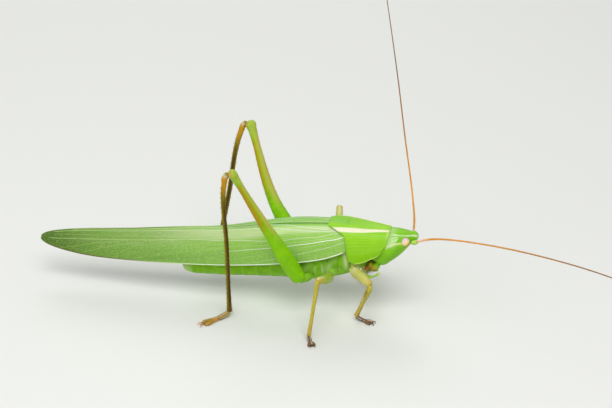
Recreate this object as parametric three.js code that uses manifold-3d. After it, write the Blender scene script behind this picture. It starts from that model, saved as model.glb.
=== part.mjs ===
// A green conehead bush-cricket, one of the long-horned grasshoppers, standing at rest.
// Life size, in millimetres. The floor is z = 0 and +Z is up. The head points along +X
// and the left side of the insect is +Y.
import * as THREE from 'three';
import { mergeVertices } from 'three/addons/utils/BufferGeometryUtils.js';
import Module from 'manifold-3d';

const wasm = await Module();
wasm.setup();

// ---------------------------------------------------------------- driving dimensions

// The trunk is built on a straight axis that starts at the tip of the head's cone and
// runs back. "Behind" is the distance back from that tip and "height" is square to the axis.
const CONE_TIP = new THREE.Vector3(26.8, 0, 12.5);
const BODY_PITCH = THREE.MathUtils.degToRad(6.1);
const BODY_LENGTH = 34.3;
const WING_TIP = 54.8;

const GAP = 0.25;
const HOLLOW_GAP = 0.35;
const COXA_GAP = 0.8;
const WING_THICKNESS = 0.5;
const SHIELD_THICKNESS = 0.5;

const EYE_RADIUS = 0.6;
const FEELER_THICKNESS = 0.62;
const FEELER_TIP_THICKNESS = 0.5;

// The pronotum is the saddle-shaped shield behind the head.
const SHIELD_FRONT = 3.8;
const SHIELD_REAR = 12.3;
const SHIELD_SIDE_REAR = 9.85;

// Lengths of the trunk under the shield and the wings.
const PROTHORAX = { from: 7.35, to: 9.5 };
const MESOTHORAX = { from: 9.8, to: 13.3 };
const METATHORAX = { from: 13.55, to: 17.4 };
const ABDOMEN_LENGTHS = 3;
const ABDOMEN_FROM = 17.65;
const ABDOMEN_TO = 32.3;

const FOOT_SOLE = 0;

// ---------------------------------------------------------------- colours

const COLOURS = {
  green: 0x7fbf2a,
  wing: 0x9ecb6a,
  pale: 0xd8dfa0,
  eye: 0xe8c6b4,
  feeler: 0xc98640,
  mouth: 0xd8b43a,
  shank: 0xa8843a,
  limb: 0xc9b65c,
  foot: 0x5a4038,
};

function coat(colour, roughness = 0.5) {
  return new THREE.MeshStandardMaterial({ color: COLOURS[colour], roughness, metalness: 0 });
}

// ---------------------------------------------------------------- shapes

// A value that changes smoothly along a piece, from pairs of a place and the value there.
function smooth(...pairs) {
  const places = pairs.map(([place]) => place);
  const values = pairs.map(([, value]) => value);
  const curve = new THREE.CubicInterpolant(places, values, 1);
  return (place) => curve.evaluate(place)[0];
}

function signedPower(value, exponent) {
  return Math.sign(value) * Math.abs(value) ** exponent;
}

function mix(start, end, share) {
  return start + (end - start) * share;
}

// A geometry with one vertex at each corner, each of them moved by place(point).
function reshaped(geometry, place) {
  geometry.deleteAttribute('normal');
  geometry.deleteAttribute('uv');
  const body = mergeVertices(geometry);
  const corners = body.getAttribute('position');
  const point = new THREE.Vector3();
  for (let i = 0; i < corners.count; i += 1) {
    point.fromBufferAttribute(corners, i);
    place(point);
    corners.setXYZ(i, point.x, point.y, point.z);
  }
  body.computeVertexNormals();
  return body;
}

// A closed body of rings, made from a capped cylinder. section(share, angle, reach, point)
// sets each point: share runs from 0 at the first ring to 1 at the last, and reach is 1 on
// the skin and 0 at the middle of an end.
function ringBody(around, rings, section) {
  const cylinder = new THREE.CylinderGeometry(1, 1, 1, around, rings);
  return reshaped(cylinder, (point) => {
    const share = 0.5 - point.y;
    const angle = Math.atan2(point.z, point.x);
    const reach = Math.round(Math.hypot(point.x, point.z));
    section(share, angle, reach, point);
  });
}

// A bent sheet, made from a flat slab. surface(across, back, point) sets a point of the outer
// face, and the inner face lies one thickness inside it.
function sheet(across, back, thickness, surface) {
  const slab = new THREE.BoxGeometry(1, 1, 1, across, back, 1);
  const step = 0.01;
  const alongAcross = new THREE.Vector3();
  const alongBack = new THREE.Vector3();
  const inward = new THREE.Vector3();
  return reshaped(slab, (point) => {
    const u = point.x + 0.5;
    const v = point.y + 0.5;
    const inner = point.z < 0;
    const lowU = Math.max(u - step, 0);
    const lowV = Math.max(v - step, 0);
    alongAcross.copy(surface(Math.min(u + step, 1), v)).sub(surface(lowU, v));
    alongBack.copy(surface(u, Math.min(v + step, 1))).sub(surface(u, lowV));
    inward.crossVectors(alongBack, alongAcross).normalize();
    point.copy(surface(u, v));
    if (inner) point.addScaledVector(inward, thickness);
  });
}

// A length of the trunk: rings that are egg-shaped, flat or boxy, by their squareness.
function trunkLength({ from, to, halfWidth, top, bottom, widest, squareness, around, rings }) {
  return ringBody(around, rings, (share, angle, reach, point) => {
    const behind = mix(from, to, share);
    const middle = widest(behind);
    const side = signedPower(Math.sin(angle), 2 / squareness);
    const rise = signedPower(Math.cos(angle), 2 / squareness);
    const span = rise > 0 ? top(behind) - middle : middle - bottom(behind);
    point.set(-behind, reach * halfWidth(behind) * side, middle + reach * span * rise);
  });
}

// A limb: rings set square to a path. wide and thin are its half-thicknesses along the path,
// and thinWay is roughly the direction of the thin one.
function limb(path, { wide, thin = wide, thinWay = new THREE.Vector3(0, 1, 0), around = 8, rings = 8 }) {
  return ringBody(around, rings, (share, angle, reach, point) => {
    const forward = path.getTangentAt(share);
    const thinAxis = thinWay.clone().addScaledVector(forward, -thinWay.dot(forward)).normalize();
    const wideAxis = new THREE.Vector3().crossVectors(thinAxis, forward);
    point.copy(path.getPointAt(share));
    point.addScaledVector(wideAxis, reach * wide(share) * Math.cos(angle));
    point.addScaledVector(thinAxis, reach * thin(share) * Math.sin(angle));
  });
}

// A point of the trunk's own frame: behind the cone tip, to the left, and above the axis.
function onTrunk(behind, left, height) {
  return new THREE.Vector3(-behind, left, height);
}

function solid(geometry) {
  const vertProperties = geometry.getAttribute('position').array;
  const triVerts = new Uint32Array(geometry.index.array);
  return new wasm.Manifold(new wasm.Mesh({ numProp: 3, vertProperties, triVerts }));
}

// What is left of a body when the tools are cut out of it.
function carved(geometry, ...tools) {
  const rest = tools.reduce((body, tool) => body.subtract(solid(tool)), solid(geometry));
  const { vertProperties, triVerts } = rest.getMesh();
  const result = new THREE.BufferGeometry();
  result.setAttribute('position', new THREE.BufferAttribute(vertProperties, 3));
  result.setIndex(new THREE.BufferAttribute(triVerts, 1));
  result.computeVertexNormals();
  return result;
}

const specimen = new THREE.Group();
const trunk = new THREE.Group();
trunk.position.copy(CONE_TIP);
trunk.rotation.y = -BODY_PITCH;
specimen.add(trunk);
specimen.updateMatrixWorld(true);

function add(parent, name, geometry, material) {
  const mesh = new THREE.Mesh(geometry, material);
  mesh.name = name;
  parent.add(mesh);
  return mesh;
}

// The same piece on the left side and, mirrored, on the right side.
function addPair(parent, name, geometry, material) {
  add(parent, `${name}_left`, geometry, material);
  add(parent, `${name}_right`, geometry, material).scale.y = -1;
}

// ---------------------------------------------------------------- head

// The head is a cone that juts forward between the feelers and widens back to the cheeks.
// Its face slants down and back to the mouth.
const head = trunkLength({
  from: 0,
  to: 7,
  halfWidth: smooth(
    [0, 0.2], [0.2, 0.42], [0.9, 0.6], [1.3, 1.05], [2.6, 1.7], [3.8, 1.95], [5.6, 1.85], [7, 1.2],
  ),
  top: smooth(
    [0, 0.2], [0.3, 0.6], [1.3, 0.96], [2.6, 1.1], [3.15, 1.0], [3.8, 0.35], [4.9, 0.25],
    [5.6, -0.1], [7, -2.2],
  ),
  bottom: smooth(
    [0, -0.2], [0.4, -0.5], [1.15, -0.9], [2.1, -1.98], [4, -3.5], [5.2, -4.2], [5.7, -3.9],
    [7, -2.9],
  ),
  widest: smooth([0, 0], [1.5, -0.1], [4, -1.1], [5.5, -1.9], [7, -2.55]),
  squareness: 2.4,
  around: 20,
  rings: 14,
});

const EYE_PLACE = onTrunk(1.65, 1.08, -0.26);
const eye = new THREE.SphereGeometry(EYE_RADIUS, 12, 8);
eye.translate(EYE_PLACE.x, EYE_PLACE.y, EYE_PLACE.z);

function eyeSocket(side) {
  const socket = new THREE.SphereGeometry(EYE_RADIUS + GAP, 12, 8);
  const place = EYE_PLACE.clone();
  place.y *= side;
  return reshaped(socket, (point) => point.add(place));
}

add(trunk, 'head', carved(head, eyeSocket(1), eyeSocket(-1)), coat('green'));
addPair(trunk, 'eye', eye, coat('eye', 0.25));

// The upper lip hangs from the face, with a jaw at each side of it and a palp behind.
const lipPath = new THREE.LineCurve3(onTrunk(5.85, 0, -4.42), onTrunk(7.35, 0, -5.02));
const lip = limb(lipPath, {
  wide: smooth([0, 0.2], [1, 0.25]),
  thin: smooth([0, 0.45], [0.6, 0.5], [1, 0.3]),
  rings: 4,
});
add(trunk, 'upper_lip', lip, coat('mouth'));

const jawPath = new THREE.LineCurve3(onTrunk(5.95, 1.1, -4.05), onTrunk(7.1, 0.9, -4.55));
const jaw = limb(jawPath, { wide: smooth([0, 0.3], [0.4, 0.36], [1, 0.22]), rings: 3 });
addPair(trunk, 'jaw', jaw, coat('mouth'));

const palpPath = new THREE.CatmullRomCurve3([
  onTrunk(7.85, 1.0, -4.8),
  onTrunk(7.5, 1.35, -5.5),
  onTrunk(6.7, 1.55, -5.5),
  onTrunk(5.75, 1.6, -4.85),
]);
const palp = limb(palpPath, { wide: smooth([0, 0.26], [1, 0.26]), around: 6, rings: 7 });
addPair(trunk, 'palp', palp, coat('pale'));

// ---------------------------------------------------------------- pronotum and neck

// Where the shield ends, seen from the side: further back over the wings than at the sides.
function shieldRear(height) {
  return mix(SHIELD_SIDE_REAR, SHIELD_REAR, THREE.MathUtils.smoothstep(height, 0.7, 2.6));
}

const shieldTop = smooth([3.5, 1.05], [5, 1.38], [7, 1.86], [9, 2.36], [10.5, 2.66], [13, 2.76]);
const shieldHalfWidth = smooth([3.5, 2.1], [4.5, 2.45], [7, 2.8], [9.9, 2.95], [13, 2.95]);
const shieldHem = smooth([4.6, -0.9], [5.4, -1.75], [6.9, -2.45], [8.2, -2.9], [9.9, -2.95]);
const SHIELD_WIDEST = -0.6;
const SHIELD_SQUARENESS = 2.7;
const SHIELD_SLANT = 1.15;

// One point of the shield's outer face; across runs from the right hem over the back to the
// left hem, and back runs from the front margin to the rear one.
function shieldSurface(across, back) {
  const side = Math.sign(across - 0.5);
  const turn = Math.abs(across - 0.5) * 2;
  const overTop = Math.min(turn / 0.62, 1);
  const downSide = Math.max((turn - 0.62) / 0.38, 0);
  const rise = Math.cos(overTop * Math.PI / 2) ** (2 / SHIELD_SQUARENESS);
  const out = Math.sin(overTop * Math.PI / 2) ** (2 / SHIELD_SQUARENESS);
  const nearTop = mix(SHIELD_WIDEST, shieldTop(11), rise);
  const front = SHIELD_FRONT + SHIELD_SLANT * turn ** 1.6;
  const behind = mix(front, shieldRear(nearTop), back);
  const height = mix(SHIELD_WIDEST, shieldTop(behind), rise);
  const hemDrop = (shieldHem(behind) - SHIELD_WIDEST) * downSide;
  const tuck = 1 - 0.08 * downSide ** 2;
  return onTrunk(behind, side * shieldHalfWidth(behind) * out * tuck, height + hemDrop);
}

add(trunk, 'pronotum', sheet(20, 9, SHIELD_THICKNESS, shieldSurface), coat('green'));

const neck = trunkLength({
  from: 6.15,
  to: 7.1,
  halfWidth: smooth([6, 0.9], [7.1, 1.2]),
  top: smooth([6, 0.6], [7.1, 0.8]),
  bottom: smooth([6, -0.2], [7.1, -0.9]),
  widest: smooth([6, 0.1], [7.1, 0]),
  squareness: 2,
  around: 10,
  rings: 1,
});
add(trunk, 'neck', neck, coat('pale'));

// ---------------------------------------------------------------- joints of the legs

// Half-thicknesses along each piece of a leg. "wide" lies in the plane of the leg's bend.
const LEG_SHAPES = {
  fore: {
    coxa: smooth([0, 0.55], [0.5, 0.66], [1, 0.48]),
    femur: { wide: smooth([0, 0.42], [0.12, 0.7], [0.4, 0.72], [0.8, 0.6], [1, 0.45]), flatness: 0.9 },
    tibia: { wide: smooth([0, 0.34], [0.15, 0.4], [0.4, 0.36], [1, 0.33]), flatness: 1 },
    colours: ['limb', 'limb', 'foot'],
  },
  middle: {
    coxa: smooth([0, 0.62], [0.5, 0.75], [1, 0.5]),
    femur: { wide: smooth([0, 0.4], [0.12, 0.72], [0.35, 0.74], [0.8, 0.52], [1, 0.42]), flatness: 0.85 },
    tibia: { wide: smooth([0, 0.33], [0.1, 0.36], [0.4, 0.33], [1, 0.32]), flatness: 1 },
    colours: ['limb', 'limb', 'foot'],
  },
  hind: {
    coxa: smooth([0, 0.6], [0.5, 0.8], [1, 0.62]),
    femur: {
      wide: smooth(
        [0, 0.38], [0.03, 0.82], [0.09, 1.08], [0.22, 1.12], [0.36, 0.94], [0.55, 0.68],
        [0.85, 0.5], [0.95, 0.6], [1, 0.48],
      ),
      flatness: 0.72,
    },
    tibia: { wide: smooth([0, 0.34], [0.05, 0.43], [0.15, 0.37], [0.6, 0.34], [1, 0.4]), flatness: 0.85 },
    colours: ['green', 'shank', 'shank'],
  },
};

// The joints of each leg: the coxa's root, the femur's root, a point along the femur where it
// bows, the knee, the ankle and the tip of the foot.
const LEG_JOINTS = {
  fore_right: [
    [18.6, -1.3, 9.2], [17.95, -2.55, 7.5], [19.45, -3.95, 7.55],
    [21.05, -5.3, 7.05], [18.7, -3.2, 0.62], [21.3, -3.95, 0.3],
  ],
  fore_left: [
    [18.6, 1.3, 9.2], [17.95, 2.55, 7.5], [18.95, 4.35, 7.65],
    [19.8, 6.2, 7.2], [17.3, 9.2, 0.62], [18.4, 11.8, 0.3],
  ],
  middle_right: [
    [15.1, -1.2, 6.9], [15.0, -2.9, 6.4], [14.9, -6, 7.7],
    [14.35, -9.0, 9.1], [13.3, -9.9, 0.62], [14.15, -11.6, 0.3],
  ],
  middle_left: [
    [15.1, 1.2, 6.9], [14.8, 2.9, 6.6], [14.5, 5.8, 9.1],
    [14.05, 8.6, 11.6], [12.6, 10.2, 0.62], [13.4, 12.0, 0.3],
  ],
  hind_right: [
    [11.9, -1.4, 5.6], [10.9, -3.5, 5.5], [6.2, -5.5, 15.0],
    [2.2, -7.5, 23.98], [1.15, -5.7, 0.72], [-2.2, -9.1, 0.3],
  ],
  hind_left: [
    [11.9, 1.4, 5.6], [10.6, 3.5, 5.5], [5.7, 5.3, 12.0],
    [1.2, 8.5, 23.8], [-4.2, 8.6, 0.72], [-7.5, 11.3, 0.3],
  ],
};

function joint(pair, side, index) {
  return new THREE.Vector3(...LEG_JOINTS[`${pair}_${side}`][index]);
}

// The short first piece of a leg, from inside the thorax to just short of the femur.
function coxaBody(pair, side, margin) {
  const root = joint(pair, side, 0);
  const end = joint(pair, side, 1);
  end.y -= Math.sign(end.y) * COXA_GAP;
  const along = end.clone().sub(root).setLength(margin);
  return limb(new THREE.LineCurve3(root.sub(along), end.add(along)), {
    wide: (share) => LEG_SHAPES[pair].coxa(share) + margin,
    thinWay: new THREE.Vector3(1, 0, 0),
    rings: 3,
  });
}

// ---------------------------------------------------------------- trunk

const trunkHalfWidth = smooth(
  [7.3, 1.6], [9, 2.0], [12, 2.25], [17, 2.3], [24, 1.95], [29, 1.6], [33, 1.15], [35, 0.75],
);
const trunkTop = smooth(
  [7.3, 0.8], [9.5, 1.2], [13, 1.35], [17, 0.9], [24, -0.2], [29, -1.1], [33, -2.3], [35, -2.9],
);
const trunkBottom = smooth(
  [7.3, -3.9], [9.5, -5.1], [13, -5.9], [17, -6.0], [24, -5.9], [30, -5.8], [33.5, -5.5],
  [35, -4.8],
);
const trunkWidest = smooth([7.3, -1.4], [12, -2.2], [20, -2.7], [30, -3.3], [35, -3.7]);

function trunkPart(from, to, rings) {
  return trunkLength({
    from,
    to,
    halfWidth: trunkHalfWidth,
    top: trunkTop,
    bottom: trunkBottom,
    widest: trunkWidest,
    squareness: 2.6,
    around: 14,
    rings,
  });
}

// Each length of the thorax carries one pair of legs, whose coxae sit in hollows in its sides.
const THORAX = {
  prothorax: { span: PROTHORAX, pair: 'fore' },
  mesothorax: { span: MESOTHORAX, pair: 'middle' },
  metathorax: { span: METATHORAX, pair: 'hind' },
};
for (const [name, { span, pair }] of Object.entries(THORAX)) {
  const hollows = ['left', 'right'].map((side) => {
    const hollow = coxaBody(pair, side, HOLLOW_GAP);
    return reshaped(hollow, (point) => trunk.worldToLocal(point));
  });
  add(trunk, name, carved(trunkPart(span.from, span.to, 3), ...hollows), coat('green'));
}

const abdomenStep = (ABDOMEN_TO - ABDOMEN_FROM) / ABDOMEN_LENGTHS;
for (let i = 0; i < ABDOMEN_LENGTHS; i += 1) {
  const from = ABDOMEN_FROM + i * abdomenStep;
  add(trunk, `abdomen_${i + 1}`, trunkPart(from, from + abdomenStep - GAP, 3), coat('green'));
}
add(trunk, 'abdomen_tip', trunkPart(ABDOMEN_TO, BODY_LENGTH, 3), coat('green'));

const cercusPath = new THREE.CatmullRomCurve3([
  onTrunk(34.6, 0.5, -3.3),
  onTrunk(35.3, 0.72, -3.4),
  onTrunk(36.1, 0.45, -3.6),
]);
const cercus = limb(cercusPath, { wide: smooth([0, 0.27], [0.6, 0.3], [1, 0.25]), around: 6, rings: 3 });
addPair(trunk, 'cercus', cercus, coat('green'));

// ---------------------------------------------------------------- wings

// The fore wings fold like a roof over the body and close to a thin upright blade behind it.
const wingTop = smooth(
  [10, 2.7], [14, 2.75], [18, 2.7], [22, 2.3], [27, 1.7], [34, 1.45], [40, 1.22], [48, 1.15],
  [51.5, 1.02], [53.8, 0.6], [54.8, -0.1],
);
const wingHem = smooth(
  [10, -1.15], [12, -1.9], [15, -2.45], [20, -2.95], [28, -3.35], [36, -3.4], [43, -3.15],
  [48, -2.75], [52, -2.1], [54, -1.35], [54.8, -0.6],
);
const wingHalfWidth = smooth(
  [10, 2.8], [15, 3.05], [20, 2.95], [26, 2.6], [32, 2.15], [40, 1.6], [48, 1.1], [54.8, 0.66],
);
const wingSquareness = smooth([10, 2.9], [17, 2.8], [24, 2.3], [30, 1.8], [38, 1.55], [54.8, 1.5]);
const WING_ROOT_HEIGHT = 11;

// One point of the left fore wing's outer face; across runs from the back down to the hem.
function foreWingSurface(across, back) {
  const angle = across * Math.PI / 2;
  const rootRise = Math.cos(angle) ** (2 / wingSquareness(WING_ROOT_HEIGHT));
  const rootHeight = mix(wingHem(WING_ROOT_HEIGHT), wingTop(WING_ROOT_HEIGHT), rootRise);
  const behind = mix(shieldRear(rootHeight) + 2 * GAP, WING_TIP, back);
  const bend = 2 / wingSquareness(behind);
  const out = mix(GAP / 2, wingHalfWidth(behind), Math.sin(angle) ** bend);
  return onTrunk(behind, out, mix(wingHem(behind), wingTop(behind), Math.cos(angle) ** bend));
}

const foreWing = reshaped(sheet(8, 18, WING_THICKNESS, foreWingSurface), (point) => {
  point.y = Math.max(point.y, GAP / 2);
});
addPair(trunk, 'fore_wing', foreWing, coat('wing'));

// The hind wings lie folded between them, one each side of the middle.
const HIND_WING = { from: 17, to: 40 };
const hindWingTop = smooth([17, 1.75], [22, 1.3], [28, 0.45], [33, -0.35], [38, -1.35], [40, -1.9]);
const hindWingHem = smooth([17, 1.2], [22, 0.5], [28, -0.6], [33, -1.95], [38, -2.75], [40, -2.6]);

const hindWing = reshaped(new THREE.BoxGeometry(1, 1, 1, 12, 1, 3), (point) => {
  const behind = mix(HIND_WING.from, HIND_WING.to, 0.5 - point.x);
  const out = GAP / 2 + (point.y + 0.5) * WING_THICKNESS;
  point.set(-behind, out, mix(hindWingHem(behind), hindWingTop(behind), point.z + 0.5));
});
addPair(trunk, 'hind_wing', hindWing, coat('wing'));

// ---------------------------------------------------------------- feelers

// Each feeler is a stout base and a long whip, the whip in two lengths.
const FEELERS = {
  left: {
    base: [onTrunk(0.6, 1.0, -0.6), onTrunk(0.62, 1.25, -0.05), onTrunk(0.85, 1.5, 0.6)],
    whip: [
      [25.86, 1.5, 13.25], [25.2, 4, 16.35], [24.3, 7, 18.3], [23.1, 11, 20.3], [19.9, 22, 26.15],
      [14.6, 38.5, 36.4],
    ],
  },
  right: {
    base: [onTrunk(0.68, -1.08, -0.4), onTrunk(0.1, -1.12, -0.2), onTrunk(-0.7, -1.14, 0.05)],
    whip: [
      [27.75, -1.15, 12.72], [30.2, -1.95, 13.49], [35.7, -4, 14.51], [45.6, -8, 15.49], [54.1, -12, 15.8],
      [70.5, -20.5, 13.8],
    ],
  },
};
const BASE_SHARE = 0.5;
const WHIP_JOIN = 0.5;

// A length of a path between two shares of it.
class PathLength extends THREE.Curve {
  constructor(path, from, to) {
    super();
    this.path = path;
    this.from = from;
    this.to = to;
  }

  getPoint(share, target = new THREE.Vector3()) {
    return target.copy(this.path.getPointAt(mix(this.from, this.to, share)));
  }
}

for (const [side, { base, whip }] of Object.entries(FEELERS)) {
  const baseBody = limb(new THREE.CatmullRomCurve3(base), {
    wide: smooth([0, 0.3], [0.15, 0.4], [BASE_SHARE, 0.36], [0.62, 0.26], [0.85, 0.27], [1, 0.25]),
    thinWay: new THREE.Vector3(0.3, 0.8, -0.5),
    rings: 7,
  });
  add(trunk, `feeler_base_${side}`, baseBody, coat('pale'));

  const whipPath = new THREE.CatmullRomCurve3(whip.map((point) => new THREE.Vector3(...point)));
  const cut = GAP / whipPath.getLength();
  const lengths = { near: [0, WHIP_JOIN - cut / 2], far: [WHIP_JOIN + cut / 2, 1] };
  for (const [place, [from, to]] of Object.entries(lengths)) {
    const thickness = (share) => mix(FEELER_THICKNESS, FEELER_TIP_THICKNESS, mix(from, to, share));
    const whipBody = limb(new PathLength(whipPath, from, to), {
      wide: (share) => thickness(share) / 2,
      around: 6,
      rings: 10,
    });
    add(specimen, `feeler_${place}_${side}`, whipBody, coat('feeler'));
  }
}

// ---------------------------------------------------------------- legs

// From the femur's end to the head of the tibia, which stands beside it in a sharply bent knee.
const KNEE_STEP = {
  fore_right: [-0.3, 0, -0.95],
  fore_left: [-0.3, 0.1, -0.95],
  middle_right: [-0.1, 0, -0.95],
  middle_left: [-0.1, 0, -0.95],
  hind_right: [-0.93, 0, -1.3],
  hind_left: [-1.13, 0, -1.0],
};
const ANKLE_GAP = 0.5;
const foot = {
  wide: smooth([0, 0.26], [0.35, 0.34], [0.5, 0.27], [0.65, 0.42], [0.8, 0.3], [1, 0.25]),
  height: smooth([0, 0.3], [0.4, 0.28], [1, 0.26]),
};

for (const [name, joints] of Object.entries(LEG_JOINTS)) {
  const [, hip, bow, knee, ankle, toe] = joints.map((place) => new THREE.Vector3(...place));
  const [pair, side] = name.split('_');
  const shape = LEG_SHAPES[pair];
  add(specimen, `${name}_coxa`, coxaBody(pair, side, 0), coat('green'));

  const femurPath = new THREE.CatmullRomCurve3([hip, bow, knee]);
  const legPlane = new THREE.Vector3().crossVectors(knee.clone().sub(hip), ankle.clone().sub(knee));
  add(specimen, `${name}_femur`, limb(femurPath, {
    wide: shape.femur.wide,
    thin: (share) => shape.femur.wide(share) * shape.femur.flatness,
    thinWay: legPlane,
    around: 10,
    rings: 10,
  }), coat(shape.colours[0]));

  const tibiaTop = knee.clone().add(new THREE.Vector3(...KNEE_STEP[name]));
  const shin = ankle.clone().sub(tibiaTop).normalize();
  const tibiaFoot = ankle.clone().addScaledVector(shin, -ANKLE_GAP);
  add(specimen, `${name}_tibia`, limb(new THREE.LineCurve3(tibiaTop, tibiaFoot), {
    wide: shape.tibia.wide,
    thin: (share) => shape.tibia.wide(share) * shape.tibia.flatness,
    thinWay: legPlane,
    around: 8,
    rings: 7,
  }), coat(shape.colours[1]));

  const sole = ankle.clone().lerp(toe, 0.5).setZ(0.3);
  const footPath = new THREE.CatmullRomCurve3([ankle, sole, toe]);
  const footBody = limb(footPath, {
    wide: foot.height,
    thin: foot.wide,
    thinWay: new THREE.Vector3().crossVectors(toe.clone().sub(ankle), new THREE.Vector3(0, 0, 1)),
    around: 8,
    rings: 8,
  });
  add(specimen, `${name}_tarsus`, reshaped(footBody, (point) => {
    point.z = Math.max(point.z, FOOT_SOLE);
  }), coat(shape.colours[2]));
}

// ---------------------------------------------------------------- place

// The origin is on the floor, below the middle of the whole insect, feelers included.
const extent = new THREE.Box3().setFromObject(specimen);
const middle = extent.getCenter(new THREE.Vector3());
specimen.position.set(-middle.x, -middle.y, -extent.min.z);

const model = new THREE.Group();
model.add(specimen);

export default model;
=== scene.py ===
# A green conehead bush-cricket standing at rest, life size, in metres.
import math
import bpy
import bmesh
import numpy as np
from mathutils import Matrix, Vector


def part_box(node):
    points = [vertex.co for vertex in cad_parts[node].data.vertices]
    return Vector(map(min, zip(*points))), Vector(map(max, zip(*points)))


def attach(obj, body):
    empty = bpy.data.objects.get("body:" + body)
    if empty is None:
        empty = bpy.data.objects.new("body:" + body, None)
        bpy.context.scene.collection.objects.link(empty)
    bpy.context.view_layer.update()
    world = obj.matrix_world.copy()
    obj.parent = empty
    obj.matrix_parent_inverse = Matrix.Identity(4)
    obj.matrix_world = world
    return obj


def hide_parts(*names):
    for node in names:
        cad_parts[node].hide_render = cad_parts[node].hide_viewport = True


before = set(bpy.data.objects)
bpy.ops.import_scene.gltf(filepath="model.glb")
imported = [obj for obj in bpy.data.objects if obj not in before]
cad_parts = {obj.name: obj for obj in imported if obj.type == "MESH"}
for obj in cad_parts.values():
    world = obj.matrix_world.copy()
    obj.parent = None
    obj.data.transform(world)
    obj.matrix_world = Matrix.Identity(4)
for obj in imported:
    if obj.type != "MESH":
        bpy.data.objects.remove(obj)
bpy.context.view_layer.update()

# ---------------------------------------------------------------- trunk
# Neck, thorax and abdomen are one soft green skin stiffened by hard rings that overlap to the
# rear like roof tiles. The thorax carries the legs, and the rings close round the tail.

MM = 0.001
HEAD_FRONT = 26.82
TRUNK_PITCH = math.radians(6.1)
CONE_TIP_X = 26.8
CONE_TIP_Z = 12.5

shield_low, shield_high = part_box("pronotum")
PLACE = np.array([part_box("head")[1].x - HEAD_FRONT * MM, (shield_low.y + shield_high.y) / 2, 0.0])


def smooth(*pairs):
    """A value that changes smoothly along a piece, from pairs of a place and the value there."""
    places, values = np.array(pairs, float).T
    slopes = np.gradient(values, places)

    def value(place):
        i = np.clip(np.searchsorted(places, place) - 1, 0, len(places) - 2)
        width = places[i + 1] - places[i]
        t = np.clip((place - places[i]) / width, 0, 1)
        rise = values[i + 1] - values[i]
        start, end = slopes[i] * width, slopes[i + 1] * width
        return values[i] + t * (start + t * (3 * rise - 2 * start - end + t * (start + end - 2 * rise)))

    return value


def blend(start, end, share):
    return start + (end - start) * share


def ease(value, low, high):
    """0 below low, 1 above high, and a smooth step between."""
    t = np.clip((value - low) / (high - low), 0, 1)
    return t * t * (3 - 2 * t)


def signed_power(value, exponent):
    return np.sign(value) * np.abs(value) ** exponent


def standing(x, y, z):
    """Points given in millimetres from the floor below the insect, as rows in metres."""
    return np.stack(np.broadcast_arrays(x, y, z), -1) * MM + PLACE


def on_trunk(behind, left, height):
    """Points given in millimetres behind the head's tip, to the left and above the trunk's axis."""
    behind, left, height = (np.asarray(value, float) for value in (behind, left, height))
    x = CONE_TIP_X - behind * math.cos(TRUNK_PITCH) - height * math.sin(TRUNK_PITCH)
    z = CONE_TIP_Z - behind * math.sin(TRUNK_PITCH) + height * math.cos(TRUNK_PITCH)
    return standing(x, left, z)


def rounded(share, cap):
    """1 along a body, closing to 0 in a round end at each share 0 and 1."""
    inward = np.clip(np.minimum(share, 1 - share) / cap, 0, 1)
    return np.sqrt(1 - (1 - inward) ** 2)


def bell(value, middle, width):
    """1 at the middle, fading to 0 within about two widths on either side."""
    return np.exp(-(((value - middle) / width) ** 2))


def near(points, line, width):
    """1 on a line laid through the points, fading to 0 within about two widths in millimetres."""
    best = np.full(len(points), np.inf)
    for a, b in zip(line, line[1:]):
        along = np.clip((points - a) @ (b - a) / ((b - a) @ (b - a)), 0, 1)
        best = np.minimum(best, np.linalg.norm(points - a - along[:, None] * (b - a), axis=1))
    return bell(best, 0, width * MM)


def grow(bm, steps, place, marks=None, facing=None):
    """Adds a sheet of steps[0] by steps[1] faces bent by place(u, v), its seam and poles closed."""
    bm.loops.layers.uv.verify()
    paint = bm.verts.layers.float_color.get("marks") or bm.verts.layers.float_color.new("marks")
    sheet = bmesh.ops.create_grid(
        bm, x_segments=steps[0], y_segments=steps[1], size=0.5, calc_uvs=True)["verts"]
    u, v = (np.array([vert.co[:2] for vert in sheet]) + 0.5).T
    points = place(u, v)
    colours = np.zeros((len(sheet), 4))
    if marks is not None:
        for channel, weight in enumerate(marks(u, v, points)):
            colours[:, channel] = np.clip(weight, 0, 1)
    for vert, point, colour in zip(sheet, points, colours):
        vert.co = point
        vert[paint] = colour
    bmesh.ops.remove_doubles(bm, verts=sheet, dist=1.5e-6)
    faces = list({face for vert in sheet if vert.is_valid for face in vert.link_faces})
    bmesh.ops.recalc_face_normals(bm, faces=faces)
    if facing is not None:
        total = sum((face.normal * face.calc_area() for face in faces), Vector())
        if total.dot(Vector(facing)) < 0:
            bmesh.ops.reverse_faces(bm, faces=faces)
    return faces


def piece(name, bm, material, slot, *replaced):
    """Finishes a piece: smooth shading, its material and what it stands for."""
    mesh = bpy.data.meshes.new(name)
    bm.to_mesh(mesh)
    bm.free()
    mesh.shade_smooth()
    mesh.materials.append(material)
    made = bpy.data.objects.new(name, mesh)
    bpy.context.collection.objects.link(made)
    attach(made, "root")
    if replaced:
        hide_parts(*replaced)
    return made


def tone(red, green, blue):
    """A colour from its screen values of 0 to 255."""
    def light(value):
        value /= 255
        return value / 12.92 if value <= 0.04045 else ((value + 0.055) / 1.055) ** 2.4
    return light(red), light(green), light(blue), 1.0


def node(tree, kind, inputs=None, **settings):
    """One shader node, with its settings and what its sockets hold or are wired to."""
    made = tree.nodes.new("ShaderNode" + kind)
    for name, value in settings.items():
        setattr(made, name, value)
    for name, value in (inputs or {}).items():
        if isinstance(value, bpy.types.NodeSocket):
            tree.links.new(value, made.inputs[name])
        else:
            made.inputs[name].default_value = value
    return made


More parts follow.
